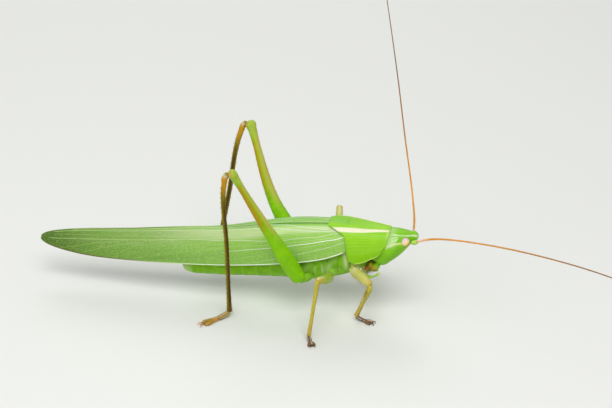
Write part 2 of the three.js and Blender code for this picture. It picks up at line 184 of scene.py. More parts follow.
def mixed(tree, share, first, second):
    """The second colour laid over the first one by a share."""
    mix = node(tree, "Mix", data_type="RGBA")
    for socket, value in ((mix.inputs[0], share), (mix.inputs[6], first), (mix.inputs[7], second)):
        if isinstance(value, bpy.types.NodeSocket):
            tree.links.new(value, socket)
        else:
            socket.default_value = value
    return mix.outputs[2]


def ramped(tree, value, low, high, top=1.0):
    """0 where a value is under low and top where it is over high."""
    return node(tree, "MapRange", {
        "Value": value, "From Min": low, "From Max": high, "To Min": 0.0, "To Max": top,
    }).outputs["Result"]


def grain_of(tree, scale, stretch=(1, 1, 1), detail=3.0, source="Object"):
    """A fine noise fixed to the piece."""
    where = node(tree, "TexCoord").outputs[source]
    placed = node(tree, "Mapping", {"Vector": where, "Scale": stretch}).outputs["Vector"]
    return node(tree, "TexNoise", {"Vector": placed, "Scale": scale, "Detail": detail}).outputs["Fac"]


PITS_PER_METRE = 6000.0
SKIN_GLOW = (0.5, 0.8, 0.15)
SKIN_GLOW_DEPTH = 0.0006


def coat(name, base, deep, tints=(), roughness=0.42, mottle=900.0, relief=0.00002, through=0.12, sheen=0.28):
    """An insect's skin: a base and a deeper colour in soft mottles, one tint for each channel of
    the marks, fine pits, and a little light passing through it."""
    material = bpy.data.materials.new(name)
    material.use_nodes = True
    tree = material.node_tree
    shader = tree.nodes["Principled BSDF"]
    colour = mixed(tree, ramped(tree, grain_of(tree, mottle), 0.35, 0.7), base, deep)
    if tints:
        marks = node(tree, "Attribute", attribute_name="marks")
        channels = node(tree, "SeparateColor", {"Color": marks.outputs["Color"]}).outputs
        for share, tint in zip([*channels, marks.outputs["Alpha"]], tints):
            colour = mixed(tree, share, colour, tint)
    tree.links.new(colour, shader.inputs["Base Color"])
    fine_pits = grain_of(tree, PITS_PER_METRE)
    bumps = node(tree, "Bump", {"Height": fine_pits, "Distance": relief, "Strength": 0.6})
    tree.links.new(bumps.outputs["Normal"], shader.inputs["Normal"])
    shader.inputs["Roughness"].default_value = roughness
    shader.inputs["Specular IOR Level"].default_value = sheen
    shader.inputs["Subsurface Weight"].default_value = through
    shader.inputs["Subsurface Radius"].default_value = SKIN_GLOW
    shader.inputs["Subsurface Scale"].default_value = SKIN_GLOW_DEPTH
    return material


TRUNK_FROM = 6.0
TRUNK_TO = 34.45
TRUNK_SQUARENESS = 2.6
TRUNK_STEPS = (330, 84)
ABDOMEN_FROM = 17.5
RING_LENGTH = 1.95
RING_FLARE = 0.024
SUTURE_DEPTH = 0.09
trunk_half = smooth(
    (6, 0.95), (7, 1.3), (8, 1.8), (9, 2.0), (12, 2.25), (17, 2.3), (24, 1.95), (29, 1.6), (33, 1.15),
    (35, 0.8))
trunk_top = smooth(
    (6, 0.45), (7.3, 0.75), (9.5, 1.2), (13, 1.35), (17, 0.9), (24, -0.2), (29, -1.1), (33, -2.3), (35, -2.9))
trunk_bottom = smooth(
    (6, -1.6), (7, -3.4), (8, -4.4), (9.5, -5.1), (13, -6.0), (15.2, -6.3), (17.5, -6.1), (24, -5.9),
    (30, -5.8), (33.5, -5.5), (35, -4.8))
trunk_widest = smooth((6, -0.6), (8, -1.6), (12, -2.2), (20, -2.7), (30, -3.3), (35, -3.7))

# Sutures of the thorax's sides, front to back, each from under the wing down to the leg.
SUTURES = [
    on_trunk([9.75, 9.75, 9.7], [s * 2.3, s * 2.3, s * 1.6], [-1.0, -3.0, -5.2])
    for s in (1, -1)
] + [
    on_trunk([a, b], [s * 2.4, s * 2.0], [-1.2, -5.0])
    for s in (1, -1) for a, b in ((11.0, 11.7), (12.3, 13.4), (14.4, 15.1), (16.0, 17.2))
]
# Pale flecks of the thorax's sides: behind and height of both ends, width and strength.
PALE_FLECKS = [
    (10.2, -1.6, 10.2, -4.8, 0.3, 1.0), (10.4, -3.8, 11.3, -4.5, 0.15, 0.6),
    (11.3, -4.05, 11.8, -4.15, 0.2, 0.5), (12.6, -3.5, 13.1, -4.3, 0.45, 0.45),
    (13.6, -3.3, 13.7, -4.5, 0.12, 0.6), (14.6, -3.6, 14.9, -4.6, 0.2, 0.35),
    (11.6, -2.4, 12.2, -2.9, 0.3, 0.25), (15.6, -3.4, 16.4, -4.4, 0.4, 0.25),
]


def ring_rise(behind):
    """How far each ring of the abdomen flares towards its rear edge."""
    phase = np.where(behind > ABDOMEN_FROM, ((behind - ABDOMEN_FROM) / RING_LENGTH) % 1, 0.5)
    return phase * (1 - ease(phase, 0.9, 1.0))


def trunk_place(u, v):
    behind = blend(TRUNK_FROM, TRUNK_TO, u)
    angle = v * 2 * math.pi
    side = signed_power(np.sin(angle), 2 / TRUNK_SQUARENESS)
    rise = signed_power(np.cos(angle), 2 / TRUNK_SQUARENESS)
    middle = trunk_widest(behind)
    span = np.where(rise > 0, trunk_top(behind) - middle, middle - trunk_bottom(behind))
    size = rounded(u, 0.02) * (1 + RING_FLARE * ring_rise(behind))
    points = on_trunk(behind, size * trunk_half(behind) * side, middle + size * span * rise)
    sunk = sum(near(points, suture, 0.12) for suture in SUTURES)
    inward = on_trunk(behind, 0 * behind, middle) - points
    inward /= np.maximum(np.linalg.norm(inward, axis=1), 1e-9)[:, None]
    return points + inward * (np.clip(sunk, 0, 1) * SUTURE_DEPTH * MM)[:, None]


def trunk_marks(u, v, points):
    behind = blend(TRUNK_FROM, TRUNK_TO, u)
    phase = ((behind - ABDOMEN_FROM) / RING_LENGTH) % 1
    edges = np.where(behind > ABDOMEN_FROM, ease(phase, 0.8, 0.97) * (1 - ease(phase, 0.97, 1.0)), 0)
    # painted highlight over the abdomen's tip, all round but its underside; the flecks added next are the
    # thorax's own pale marks
    pale = 0.4 * ease(behind, 32.4, 33.6) * ease(np.cos(v * 2 * math.pi), -0.98, -0.5)
    for from_x, from_z, to_x, to_z, wide, strength in PALE_FLECKS:
        for side in (1, -1):
            fleck = on_trunk([from_x, to_x], [2.25 * side, 2.2 * side], [from_z, to_z])
            pale = pale + strength * near(points, fleck, wide)
    dark = 0.6 * sum(near(points, suture, 0.1) for suture in SUTURES)
    under = ease(np.cos(v * 2 * math.pi), -0.75, -0.98)
    return pale, dark, 0.2 * edges + 0.35 * under


# The first tint paints both the thorax's pale flecks and the painted highlight on the abdomen's tip.
body_green = coat(
    "trunk_skin", tone(128, 188, 10), tone(102, 162, 4),
    [tone(206, 222, 160), tone(70, 112, 10), tone(164, 204, 80)], roughness=0.45, sheen=0.2)
trunk = bmesh.new()
grow(trunk, TRUNK_STEPS, trunk_place, trunk_marks)
piece(
    "trunk", trunk, body_green, "shell_green",
    "neck", "prothorax", "mesothorax", "metathorax", "abdomen_1", "abdomen_2", "abdomen_3", "abdomen_tip")

# ---------------------------------------------------------------- tail
# A pair of short stout claspers, the cerci, sits at the end of the abdomen over the plate that
# closes it below. Each tapers to a hooked point and is hinged in the last ring.


def route(*corners):
    """A smooth way through corners: its spots and directions at shares 0 to 1 of its length."""
    corners = np.array(corners, float)
    reach = np.concatenate([[0], np.cumsum(np.linalg.norm(np.diff(corners, axis=0), axis=1))])
    curves = [smooth(*zip(reach, column)) for column in corners.T]
    fine = np.linspace(0, reach[-1], 600)
    spots = np.stack([curve(fine) for curve in curves], -1)
    run = np.concatenate([[0], np.cumsum(np.linalg.norm(np.diff(spots, axis=0), axis=1))])
    heading = np.gradient(spots, run, axis=0)

    def at(share):
        reached = np.clip(share, 0, 1) * run[-1]
        spot = np.stack([np.interp(reached, run, column) for column in spots.T], -1)
        forward = np.stack([np.interp(reached, run, column) for column in heading.T], -1)
        return spot, forward / np.linalg.norm(forward, axis=1)[:, None]

    at.length = run[-1]
    return at


def unit(rows):
    return rows / np.maximum(np.linalg.norm(rows, axis=-1, keepdims=True), 1e-12)


def tube(way, wide, thin=None, thin_way=(0, 1, 0), cap=0.04, relief=None):
    """The surface of a round-ended tube round a way: spots, and directions out of the surface and
    along the way, at shares and turns. wide and thin are half-thicknesses in millimetres, thin_way
    is roughly the direction of the thin one, relief is what is added to both."""
    thin = thin or wide

    def surface(share, turn):
        spot, forward = way(share)
        thin_axis = np.broadcast_to(np.array(thin_way, float), forward.shape)
        thin_axis = unit(thin_axis - (thin_axis * forward).sum(1)[:, None] * forward)
        wide_axis = np.cross(thin_axis, forward)
        added = relief(share, turn) if relief else 0
        close = rounded(share, cap)
        out_wide = close * (wide(share) + added) * np.cos(turn)
        out_thin = close * (thin(share) + added) * np.sin(turn)
        outward = wide_axis * out_wide[:, None] + thin_axis * out_thin[:, None]
        return spot + outward, unit(outward), forward

    return surface


def limb(bm, way, steps, wide, thin=None, thin_way=(0, 1, 0), marks=None, seat=standing, cap=0.04,
         relief=None):
    """Adds a round-ended tube round a way, as steps[0] by steps[1] faces."""
    surface = tube(way, wide, thin, thin_way, cap, relief)
    return grow(bm, steps, lambda u, v: seat(*surface(u, v * 2 * math.pi)[0].T), marks)


for side, name in ((1, "left"), (-1, "right")):
    clasper = bmesh.new()
    way = route((34.2, side * 0.45, -3.25), (35.0, side * 0.78, -3.3), (35.7, side * 0.66, -3.45),
                (36.1, side * 0.4, -3.6))
    limb(clasper, way, (40, 20), smooth((0, 0.26), (0.5, 0.3), (0.85, 0.16), (1, 0.07)), seat=on_trunk,
         marks=lambda u, v, points: (0, 0, 0.6 * ease(u, 0.6, 1)))
    piece(f"cercus_{name}_skin", clasper, body_green, "shell_green", f"cercus_{name}")

# ---------------------------------------------------------------- head
# The head is one hard smooth capsule. Its crown juts forward between the feelers as a blunt
# cone, its face slants back to the mouth, and a pale line runs down each side of the crown.

HEAD_FROM = 0.0
HEAD_TO = 7.0
HEAD_SQUARENESS = 2.35
HEAD_STEPS = (170, 170)
head_half = smooth(
    (0, 0.36), (0.3, 0.48), (0.8, 0.64), (1.3, 1.0), (1.9, 1.38), (2.6, 1.68), (3.8, 1.99), (4.5, 2.06),
    (5.6, 1.92), (7, 1.2))
head_top = smooth(
    (0, 0.5), (0.3, 0.62), (0.8, 0.72), (1.3, 0.8), (2.0, 0.9), (2.6, 1.0), (3.3, 1.12), (3.9, 1.17),
    (4.9, 1.08), (5.6, 0.4), (7, -2.2))
head_bottom = smooth(
    (0, -0.3), (0.35, -0.46), (0.8, -0.6), (1.15, -1.0), (2.1, -1.98), (2.9, -2.72), (4, -3.5), (5.2, -4.2),
    (5.8, -4.1), (7, -2.9))
head_widest = smooth((0, 0), (1.5, -0.2), (4, -1.1), (5.5, -1.9), (7, -2.55))
EYE_SPOT = (1.76, 1.13, -0.24)
EYE_RADIUS = 0.62
SOCKET_SPOT = (0.85, 0.72, -0.45)
SOCKET_RADIUS = 0.33


def head_grooves(points):
    """How deep the capsule's grooves and how high its rims are, in millimetres."""
    depth = 0.13 * near(points, on_trunk([5.0, 5.1, 5.0], [1.5, 0, -1.5], [-3.6, -4.2, -3.6]), 0.12)
    for side in (1, -1):
        cheek = on_trunk([2.1, 3.2, 4.6], np.array([1.4, 1.9, 1.9]) * side, [-1.1, -2.0, -3.2])
        depth += 0.05 * near(points, cheek, 0.12)
        for rim_spot, radius in ((EYE_SPOT, EYE_RADIUS + 0.1), (SOCKET_SPOT, SOCKET_RADIUS + 0.05)):
            centre = on_trunk(rim_spot[0], rim_spot[1] * side, rim_spot[2])
            away = np.linalg.norm(points - centre, axis=1) / MM
            depth -= 0.05 * bell(away, radius, 0.09)
    return depth


def head_place(u, v):
    behind = blend(HEAD_FROM, HEAD_TO, u)
    angle = v * 2 * math.pi + math.pi
    side = signed_power(np.sin(angle), 2 / HEAD_SQUARENESS)
    rise = signed_power(np.cos(angle), 2 / HEAD_SQUARENESS)
    middle = head_widest(behind)
    span = np.where(rise > 0, head_top(behind) - middle, middle - head_bottom(behind))
    size = rounded(u, 0.035)
    points = on_trunk(behind, size * head_half(behind) * side, middle + size * span * rise)
    inward = unit(on_trunk(behind, 0 * behind, middle) - points)
    return points + inward * (head_grooves(points) * MM)[:, None]


CROWN_LINE = [(3.9, 0.95, 0.8), (3.1, 1.13, 0.83), (2.4, 1.1, 0.79), (1.75, 1.0, 0.67), (1.14, 0.74, 0.52),
              (0.6, 0.5, 0.39), (0.17, 0.32, 0.26)]
EYE_LINE = [(2.2, 1.52, -0.31), (2.7, 1.69, -0.25), (3.3, 1.84, -0.3), (3.9, 1.91, -0.46), (4.5, 1.96, -0.68)]
WRINKLES = [
    [(2.7, 1.36, 0.6), (3.4, 1.52, 0.47), (4.1, 1.67, 0.16)],
    [(2.7, 1.51, 0.38), (3.4, 1.68, 0.22), (4.15, 1.78, -0.05)],
    [(2.85, 1.62, 0.19), (3.5, 1.78, -0.01), (4.2, 1.88, -0.29)],
    [(3.1, 1.75, -0.09), (3.6, 1.86, -0.28), (4.3, 1.94, -0.57)],
    [(3.3, 1.84, -0.45), (3.7, 1.91, -0.6), (4.4, 1.98, -0.85)],
]


def side_line(line, side):
    """A line of places behind, out and up, laid on the left or right of the trunk's axis."""
    behind, out, height = np.array(line).T
    return on_trunk(behind, out * side, height)


def level(behind, height):
    """How high up a place over the trunk's axis is, in metres."""
    return on_trunk(behind, 0, height)[2]


def head_marks(u, v, points):
    behind = blend(HEAD_FROM, HEAD_TO, u)
    line = eye_line = wrinkle = 0
    for side in (1, -1):
        line = line + 0.8 * near(points, side_line(CROWN_LINE, side), 0.11)
        eye_line = eye_line + near(points, side_line(EYE_LINE, side), 0.14)
        for fold in WRINKLES:
            wrinkle = wrinkle + near(points, side_line(fold, side), 0.07)
    spot = on_trunk(0.15, 0, 0)
    tip = bell(np.linalg.norm(points - spot, axis=1), 0, 0.34 * MM)
    ocellus = near(points, side_line([(1.2, 0, -0.98), (1.3, 0, -1.08)], 1), 0.12)
    behind_eye = ease(behind, 2.6, 3.6) * ease(points[:, 2], level(3.4, -1.3), level(3.4, -0.2))
    crown = ease(points[:, 2], level(2.6, 0.1), level(2.6, 0.9))
    pale = line + 0.6 * tip + 0.6 * ocellus
    return pale, 0.9 * eye_line, 0.85 * wrinkle + 0.3 * behind_eye, 0.1 * crown * (1 - line)


head_green = coat(
    "head_shell", tone(130, 196, 22), tone(116, 182, 16),
    [tone(238, 240, 212), tone(226, 232, 160), tone(212, 232, 178), tone(104, 166, 30)],
    roughness=0.4, mottle=700.0, relief=0.00001, sheen=0.2)
head = bmesh.new()
grow(head, HEAD_STEPS, head_place, head_marks)
piece("head_capsule", head, head_green, "shell_green", "head")

# ---------------------------------------------------------------- eyes
# The compound eyes are small smooth half-balls of fine six-sided lenses, pinkish cream with an
# amber lower rim and a lilac painted highlight over the top. Each is set in a low ring of the head.

EYE_FLATTENING = 0.9
EYE_STEPS = (36, 48)
LENSES_PER_METRE = 26000.0


def eye_coat():
    material = bpy.data.materials.new("eye_lenses")
    material.use_nodes = True
    tree = material.node_tree
    shader = tree.nodes["Principled BSDF"]
    marks = node(tree, "Attribute", attribute_name="marks")
    upper, lower, spot = node(tree, "SeparateColor", {"Color": marks.outputs["Color"]}).outputs
    colour = mixed(tree, lower, tone(240, 226, 158), tone(222, 150, 44))
    # the lilac over the top of the eye is a painted highlight
    colour = mixed(tree, upper, colour, tone(222, 178, 204))
    colour = mixed(tree, spot, colour, tone(186, 120, 150))
    tree.links.new(colour, shader.inputs["Base Color"])
    where = node(tree, "TexCoord").outputs["Object"]
    lenses = node(tree, "TexVoronoi", {"Vector": where, "Scale": LENSES_PER_METRE}).outputs["Distance"]
    bumps = node(tree, "Bump", {"Height": lenses, "Distance": 0.000008, "Strength": 0.4})
    bumps.invert = True
    tree.links.new(bumps.outputs["Normal"], shader.inputs["Normal"])
    shader.inputs["Roughness"].default_value = 0.22
    shader.inputs["Coat Weight"].default_value = 0.15
    return material


eye_lenses = eye_coat()
for side, name in ((1, "left"), (-1, "right")):
    def eye_place(u, v):
        tilt, turn = u * math.pi, v * 2 * math.pi
        behind = EYE_SPOT[0] + EYE_RADIUS * np.cos(turn) * np.sin(tilt)
        left = side * (EYE_SPOT[1] + EYE_RADIUS * EYE_FLATTENING * np.cos(tilt))
        return on_trunk(behind, left, EYE_SPOT[2] + EYE_RADIUS * np.sin(turn) * np.sin(tilt))

    def eye_marks(u, v, points):
        centre = on_trunk(*EYE_SPOT)
        rise = (points[:, 2] - centre[2]) / (EYE_RADIUS * MM)
        ahead = (points[:, 0] - centre[0]) / (EYE_RADIUS * MM)
        pupil = on_trunk(EYE_SPOT[0] - 0.1, side * (EYE_SPOT[1] + EYE_RADIUS), EYE_SPOT[2] + 0.05)
        # first channel: the painted highlight over the upper rear of the eye; then the amber lower rim and
        # the pupil
        return (0.9 * ease(rise - 0.4 * ahead, 0.1, 0.8), ease(np.abs(ahead + 0.1) - rise, 0.5, 1.0),
                0.5 * near(points, [pupil, pupil * 1.0001], 0.13))

    ball = bmesh.new()
    grow(ball, EYE_STEPS, eye_place, eye_marks)
    piece(f"eye_{name}_ball", ball, eye_lenses, "eye", f"eye_{name}")

# ---------------------------------------------------------------- mouth
# The upper lip hangs from the face like a flap. Behind it are the two biting jaws, amber with
# dark tips, the lower lip, and slender jointed palps that hang down and curl forward.

mouth_amber = coat(
    "mouth_parts", tone(190, 176, 20), tone(168, 140, 16),
    [tone(124, 182, 24), tone(64, 36, 14), tone(190, 92, 24)], roughness=0.36, mottle=1400.0, sheen=0.25)
palp_green = coat(
    "palp_skin", tone(156, 200, 60), tone(138, 184, 44), [tone(214, 220, 160), tone(120, 120, 60)],
    roughness=0.4)


def lip_marks(u, v, points):
    return 1 - ease(u, 0.25, 0.6), 0.5 * ease(u, 0.9, 1), 0


lip = bmesh.new()
limb(lip, route((5.6, 0, -4.0), (6.4, 0, -4.42), (7.4, 0, -4.82)), (40, 40),
     smooth((0, 0.2), (0.5, 0.26), (1, 0.2)),
     smooth((0, 0.75), (0.45, 0.68), (0.55, 0.56), (0.85, 0.52), (1, 0.36)),
     seat=on_trunk, marks=lip_marks, cap=0.1)
piece("upper_lip_flap", lip, mouth_amber, "mouth", "upper_lip")

def jaw_marks(u, v, points):
    return 1 - ease(u, 0.18, 0.36), ease(u, 0.74, 0.95), 0.6 * ease(u, 0.5, 0.75)


def cheek_marks(u, v, points):
    brown = 0.5 * ease(u, 0.25, 0.42) - 0.4 * ease(u, 0.55, 0.85)
    return 0.3 * (1 - ease(u, 0.1, 0.25)), brown, ease(u, 0.5, 0.85)


def palp_marks(u, v, points):
    return ease(u, 0.8, 1), 0.5 * bell(u, 0.2, 0.02) + 0.5 * bell(u, 0.58, 0.02)


# how far the far side's palps are drawn back towards the mouth
PALP_CURL = {"left": 0.5, "right": 0.0}
for side, name in ((1, "left"), (-1, "right")):
    jaw = bmesh.new()
    limb(jaw, route((5.75, side * 1.2, -3.75), (6.5, side * 1.12, -4.25), (7.35, side * 0.7, -4.8)), (40, 28),
         smooth((0, 0.4), (0.4, 0.5), (0.8, 0.3), (1, 0.12)),
         smooth((0, 0.34), (0.4, 0.4), (1, 0.14)), seat=on_trunk, marks=jaw_marks, cap=0.08)
    # the soft cheek piece that the palp grows from
    limb(jaw, route((6.6, side * 0.95, -3.6), (7.3, side * 0.95, -4.2), (7.85, side * 0.9, -4.75)), (30, 24),
         smooth((0, 0.42), (0.6, 0.36), (1, 0.2)), seat=on_trunk, cap=0.12,
         marks=cheek_marks)
    piece(f"jaw_{name}_shell", jaw, mouth_amber, "mouth", f"jaw_{name}")

    palp = bmesh.new()
    curl = PALP_CURL[name]
    reach = route((7.85, side * 1.0, -4.75), (7.75, side * 1.25, -5.25), (7.15 + curl, side * 1.4, -5.62),
                  (6.25 + curl, side * 1.42, -5.38), (5.65 + curl, side * 1.35, -4.88))
    joints = smooth(
        (0, 0.13), (0.17, 0.14), (0.2, 0.1), (0.24, 0.13), (0.54, 0.15), (0.58, 0.1), (0.63, 0.12),
        (0.9, 0.17), (1, 0.14))
    limb(palp, reach, (90, 14), joints, seat=on_trunk, cap=0.03, marks=palp_marks)
    limb(palp, route((7.95, side * 0.35, -4.7), (7.6, side * 0.6, -5.0), (6.8 + curl, side * 0.85, -5.0),
                     (5.95 + curl, side * 0.95, -4.8)), (60, 12),
         smooth((0, 0.11), (0.35, 0.12), (0.4, 0.08), (0.9, 0.13), (1, 0.1)), seat=on_trunk,
         marks=lambda u, v, points: (0.5 * ease(u, 0.8, 1), 0))
    piece(f"palp_{name}_skin", palp, palp_green, "shell_pale", f"palp_{name}")

lower_lip = bmesh.new()
limb(lower_lip, route((7.0, 0, -3.3), (7.7, 0, -4.3), (8.0, 0, -4.95)), (30, 30),
     smooth((0, 0.3), (1, 0.16)), smooth((0, 0.85), (0.7, 0.7), (1, 0.45)), seat=on_trunk, cap=0.12,
     marks=lambda u, v, points: (0, 0.25, 0.25))
piece("lower_lip", lower_lip, mouth_amber, "mouth")

# ---------------------------------------------------------------- shield
# The pronotum is a hard saddle-shaped plate over the front of the thorax. A ridge with a cream
# band parts its flat top from each side, and a pale bead stiffens the side's lower edge.

SHIELD_FRONT = 3.8
SHIELD_WIDEST = -0.6
CORNER_ROUND = 0.8
shield_square = smooth((3.8, 2.35), (5, 2.5), (7, 2.7), (13, 2.75))
SHIELD_SLANT = 1.15
SHIELD_WALL = 0.09 * MM
SHIELD_STEPS = (150, 210)
shield_top = smooth((3.5, 1.27), (5, 1.57), (7, 1.92), (9, 2.34), (10.5, 2.6), (13, 2.7))
shield_half = smooth((3.5, 1.98), (4.5, 2.23), (7, 2.76), (9.9, 2.96), (13, 2.95))
shield_hem = smooth((4.6, -0.9), (5.4, -1.75), (6.9, -2.45), (8.2, -2.9), (9.9, -2.95))
ridge_turn = smooth(
    (3.8, 0.139), (5.5, 0.163), (6.9, 0.19), (8, 0.21), (9.75, 0.24), (11.1, 0.25), (12.3, 0.25))
band_half = smooth(
    (3.8, 0.036), (5.5, 0.048), (6.9, 0.058), (8, 0.066), (9.75, 0.066), (11.1, 0.056), (12.3, 0.05))
SIDE_FROM = 0.62


# how far behind the head's tip the rear edge lies at each height: over the shoulder it steps back
shield_rear = smooth(
    (-3, 9.8), (-0.6, 9.85), (0.7, 9.88), (1.29, 9.95), (1.64, 10.2), (1.94, 10.75), (2.14, 11.15),
    (2.3, 11.6), (2.42, 12.0), (2.54, 12.3), (2.62, 12.35), (3, 12.35))


def shield_spot(turn, back):
    """Behind, out and height of a place on the shield; turn runs from the middle to the hem."""
    over = np.clip(turn / SIDE_FROM, 0, 1)
    down = np.clip((turn - SIDE_FROM) / (1 - SIDE_FROM), 0, 1)
    near_top = blend(SHIELD_WIDEST, shield_top(11), np.cos(over * math.pi / 2) ** 0.74)
    rear = shield_rear(near_top) - CORNER_ROUND * ease(turn, 0.86, 1.0) ** 2
    behind = blend(SHIELD_FRONT + SHIELD_SLANT * turn**1.6, rear, back)
    bend = 2 / shield_square(behind)
    rise = np.cos(over * math.pi / 2) ** bend
    out = np.sin(over * math.pi / 2) ** bend
    height = blend(SHIELD_WIDEST, shield_top(behind), rise) + (shield_hem(behind) - SHIELD_WIDEST) * down
    return behind, shield_half(behind) * out * (1 - 0.08 * down**2), height


def shield_place(u, v):
    turn = np.abs(v - 0.5) * 2
    side = np.sign(v - 0.5)
    behind, out, height = shield_spot(turn, u)
    ridge = 0.06 * bell(turn, ridge_turn(behind), 0.035)
    bead = 0.05 * ease(turn, 0.955, 0.985)
    collar = -0.06 * (1 - ease(u, 0.0, 0.04)) - 0.07 * ease(u, 0.95, 1.0)
    furrow = -0.025 * bell(u - 0.42, 0.05 * turn, 0.02) * ease(turn, 0.12, 0.3)
    saddle = -0.04 * bell(u, 0.66, 0.02) * ease(turn, 0.55, 0.3)
    lift = ridge + bead + collar + furrow + saddle
    share = np.clip(turn / SIDE_FROM, 0, 1)
    return on_trunk(behind, side * (out + lift * share), height + lift * (1 - share))


def shield_marks(u, v, points):
    turn = np.abs(v - 0.5) * 2
    behind, out, height = shield_spot(turn, u)
    offset = (turn - ridge_turn(behind)) / band_half(behind)
    band = ease(offset, -1.25, -0.6) * (1 - ease(offset, 0.65, 1.15)) * (1 - 0.3 * ease(u, 0.975, 1.0))
    hem = 0.8 * ease(turn, 0.968, 0.985) * (1 - 0.6 * ease(behind, 8.2, 9.4))
    front = (1 - ease(u, 0.0, 0.06)) * bell(turn, 0.26, 0.16) + 0.35 * (1 - ease(u, 0.0, 0.02))
    lines = 0.3 * (0.5 + 0.5 * np.sin(turn * 110 + 2 * np.sin(u * 3))) * (turn < 0.75)
    top_shade = 0.7 * (1 - ease(turn, 0.0, 0.16)) * ease(u, 0.3, 0.8)
    rear_shade = 0.5 * ease(u, 0.92, 1.0) * ease(turn, 0.4, 0.6)
    return band, np.maximum(hem, 0.7 * front), lines * (1 - band), top_shade + rear_shade


shield_green = coat(
    "shield_shell", tone(144, 204, 16), tone(130, 194, 12),
    [tone(234, 230, 196), tone(206, 228, 140), tone(166, 220, 84), tone(112, 178, 38)],
    roughness=0.42, mottle=500.0, relief=0.000012, sheen=0.2)
shield = bmesh.new()
grow(shield, SHIELD_STEPS, shield_place, shield_marks, facing=(0, 0, 1))
made = piece("pronotum_shield", shield, shield_green, "shell_green", "pronotum")
wall = made.modifiers.new("wall", "SOLIDIFY")
wall.thickness = SHIELD_WALL
wall.offset = -1

# ---------------------------------------------------------------- fore wings
# The fore wings are leathery, leaf-green and stiffened by pale raised veins that fan out from
# the shoulder. They fold like a roof, the left over the right, and meet in a thin blade.

WING_TIP = 54.9
WING_ROOT_TUCK = 1.0
WING_WALL = 0.07 * MM
WING_STEPS = (330, 90)
wing_top = smooth(
    (10, 2.5), (12.3, 2.64), (14, 2.7), (18, 2.68), (22, 2.3), (27, 1.74), (34, 1.47), (40, 1.24), (48, 1.2),
    (55, 1.2))
wing_hem = smooth(
    (9, -0.6), (10, -1.15), (12, -1.85), (15, -2.4), (20, -2.93), (28, -3.32), (36, -3.3), (43, -2.98),
    (48, -2.52), (51, -2.1), (55, -1.5))
wing_half = smooth(
    (9, 2.5), (10, 2.7), (12, 2.86), (15, 3.02), (20, 2.95), (26, 2.6), (32, 2.15), (40, 1.6), (48, 1.1),
    (53, 0.6), (54.9, 0.22))
wing_square = smooth((9, 2.9), (17, 2.8), (24, 2.3), (30, 1.8), (38, 1.55), (54.9, 1.5))
wing_lap = smooth((9, 0.7), (16, 0.9), (24, 0.5), (31, 0.03), (54.9, 0.0))
wing_sink = smooth((9, 0.08), (20, 0.075), (26, 0.07), (31, 0.0), (54.9, 0.0))
TOP_GAP = 0.005
EDGE_DIP = 0.07
TIP_FROM = 46.0
TIP_HEIGHT = -0.22
TIP_BLUNTNESS = 2.6


def wing_spot(side, across, behind):
    """A place on a fore wing: across runs from the back's edge to the hem."""
    angle = across * math.pi / 2
    bend = 2 / wing_square(behind)
    turn = np.sin(angle) ** bend
    out = blend(TOP_GAP - wing_lap(behind), wing_half(behind), turn)
    rise = np.cos(angle) ** bend
    height = blend(wing_hem(behind), wing_top(behind), rise)
    closing = np.clip((behind - TIP_FROM) / (WING_TIP - TIP_FROM), 0, 1)
    height = blend(TIP_HEIGHT, height, (1 - closing**TIP_BLUNTNESS) ** (1 / TIP_BLUNTNESS))
    edge_dip = EDGE_DIP * (1 - ease(across, 0.0, 0.06)) * ease(wing_lap(behind), 0.03, 0.25)
    lowered = wing_sink(behind) * rise * (side < 0) + edge_dip * (side > 0)
    return on_trunk(behind, side * out, height - lowered)


def wing_start(across):
    """How far behind the head's tip the wing begins, just under the shield's rear edge."""
    rise = np.cos(across * math.pi / 2) ** (2 / 2.9)
    return shield_rear(blend(-1.2, 2.7, rise)) - WING_ROOT_TUCK


def wing_place(side):
    def place(u, v):
        behind = blend(wing_start(v), WING_TIP, 1 - (1 - u) ** 1.15)
        return wing_spot(side, v, behind)
    return place


wing_fold = smooth((9, 0.27), (16, 0.26), (22, 0.24), (27, 0.19), (36, 0.12), (55, 0.08))
band_low = smooth((9, 0.46), (18, 0.5), (24, 0.53), (28, 0.5), (33, 0.45), (55, 0.47))
tip_shade = smooth((9, 0), (20, 0), (28, 0.16), (36, 0.44), (43, 0.56), (48, 0.72), (52, 0.92), (55, 1))


def wing_marks(u, v, points):
    behind = blend(wing_start(v), WING_TIP, 1 - (1 - u) ** 1.15)
    fold, low = wing_fold(behind), band_low(behind)
    band = ease(v, fold - 0.02, fold + 0.07) * (1 - ease(v, low - 0.08, low + 0.04))
    band = band * (1 - 0.8 * ease(behind, 30, 46))
    back = (1 - ease(v, fold - 0.07, fold + 0.02)) * (1 - ease(behind, 22, 34))
    olive = 0.4 * bell(v, 0.5, 0.13) * ease(behind, 27, 36)
    # painted shade along the fold that runs on from the wing's main vein
    painted_fold_shade = bell(v - 0.74, 0.012 * (behind - 26), 0.05) * ease(behind, 24, 28) * (1 - ease(behind, 38, 42))
    edge = ease(v, 0.955, 0.985) + (1 - ease(v, 0.012, 0.04))
    # the last channel is darker towards the hem, plus the painted shade along the fold
    return (np.maximum(band, olive), np.maximum(tip_shade(behind), edge * ease(behind, 34, 46)), 0.85 * back,
            0.5 * ease(v, 0.55, 0.9) + 0.5 * painted_fold_shade)


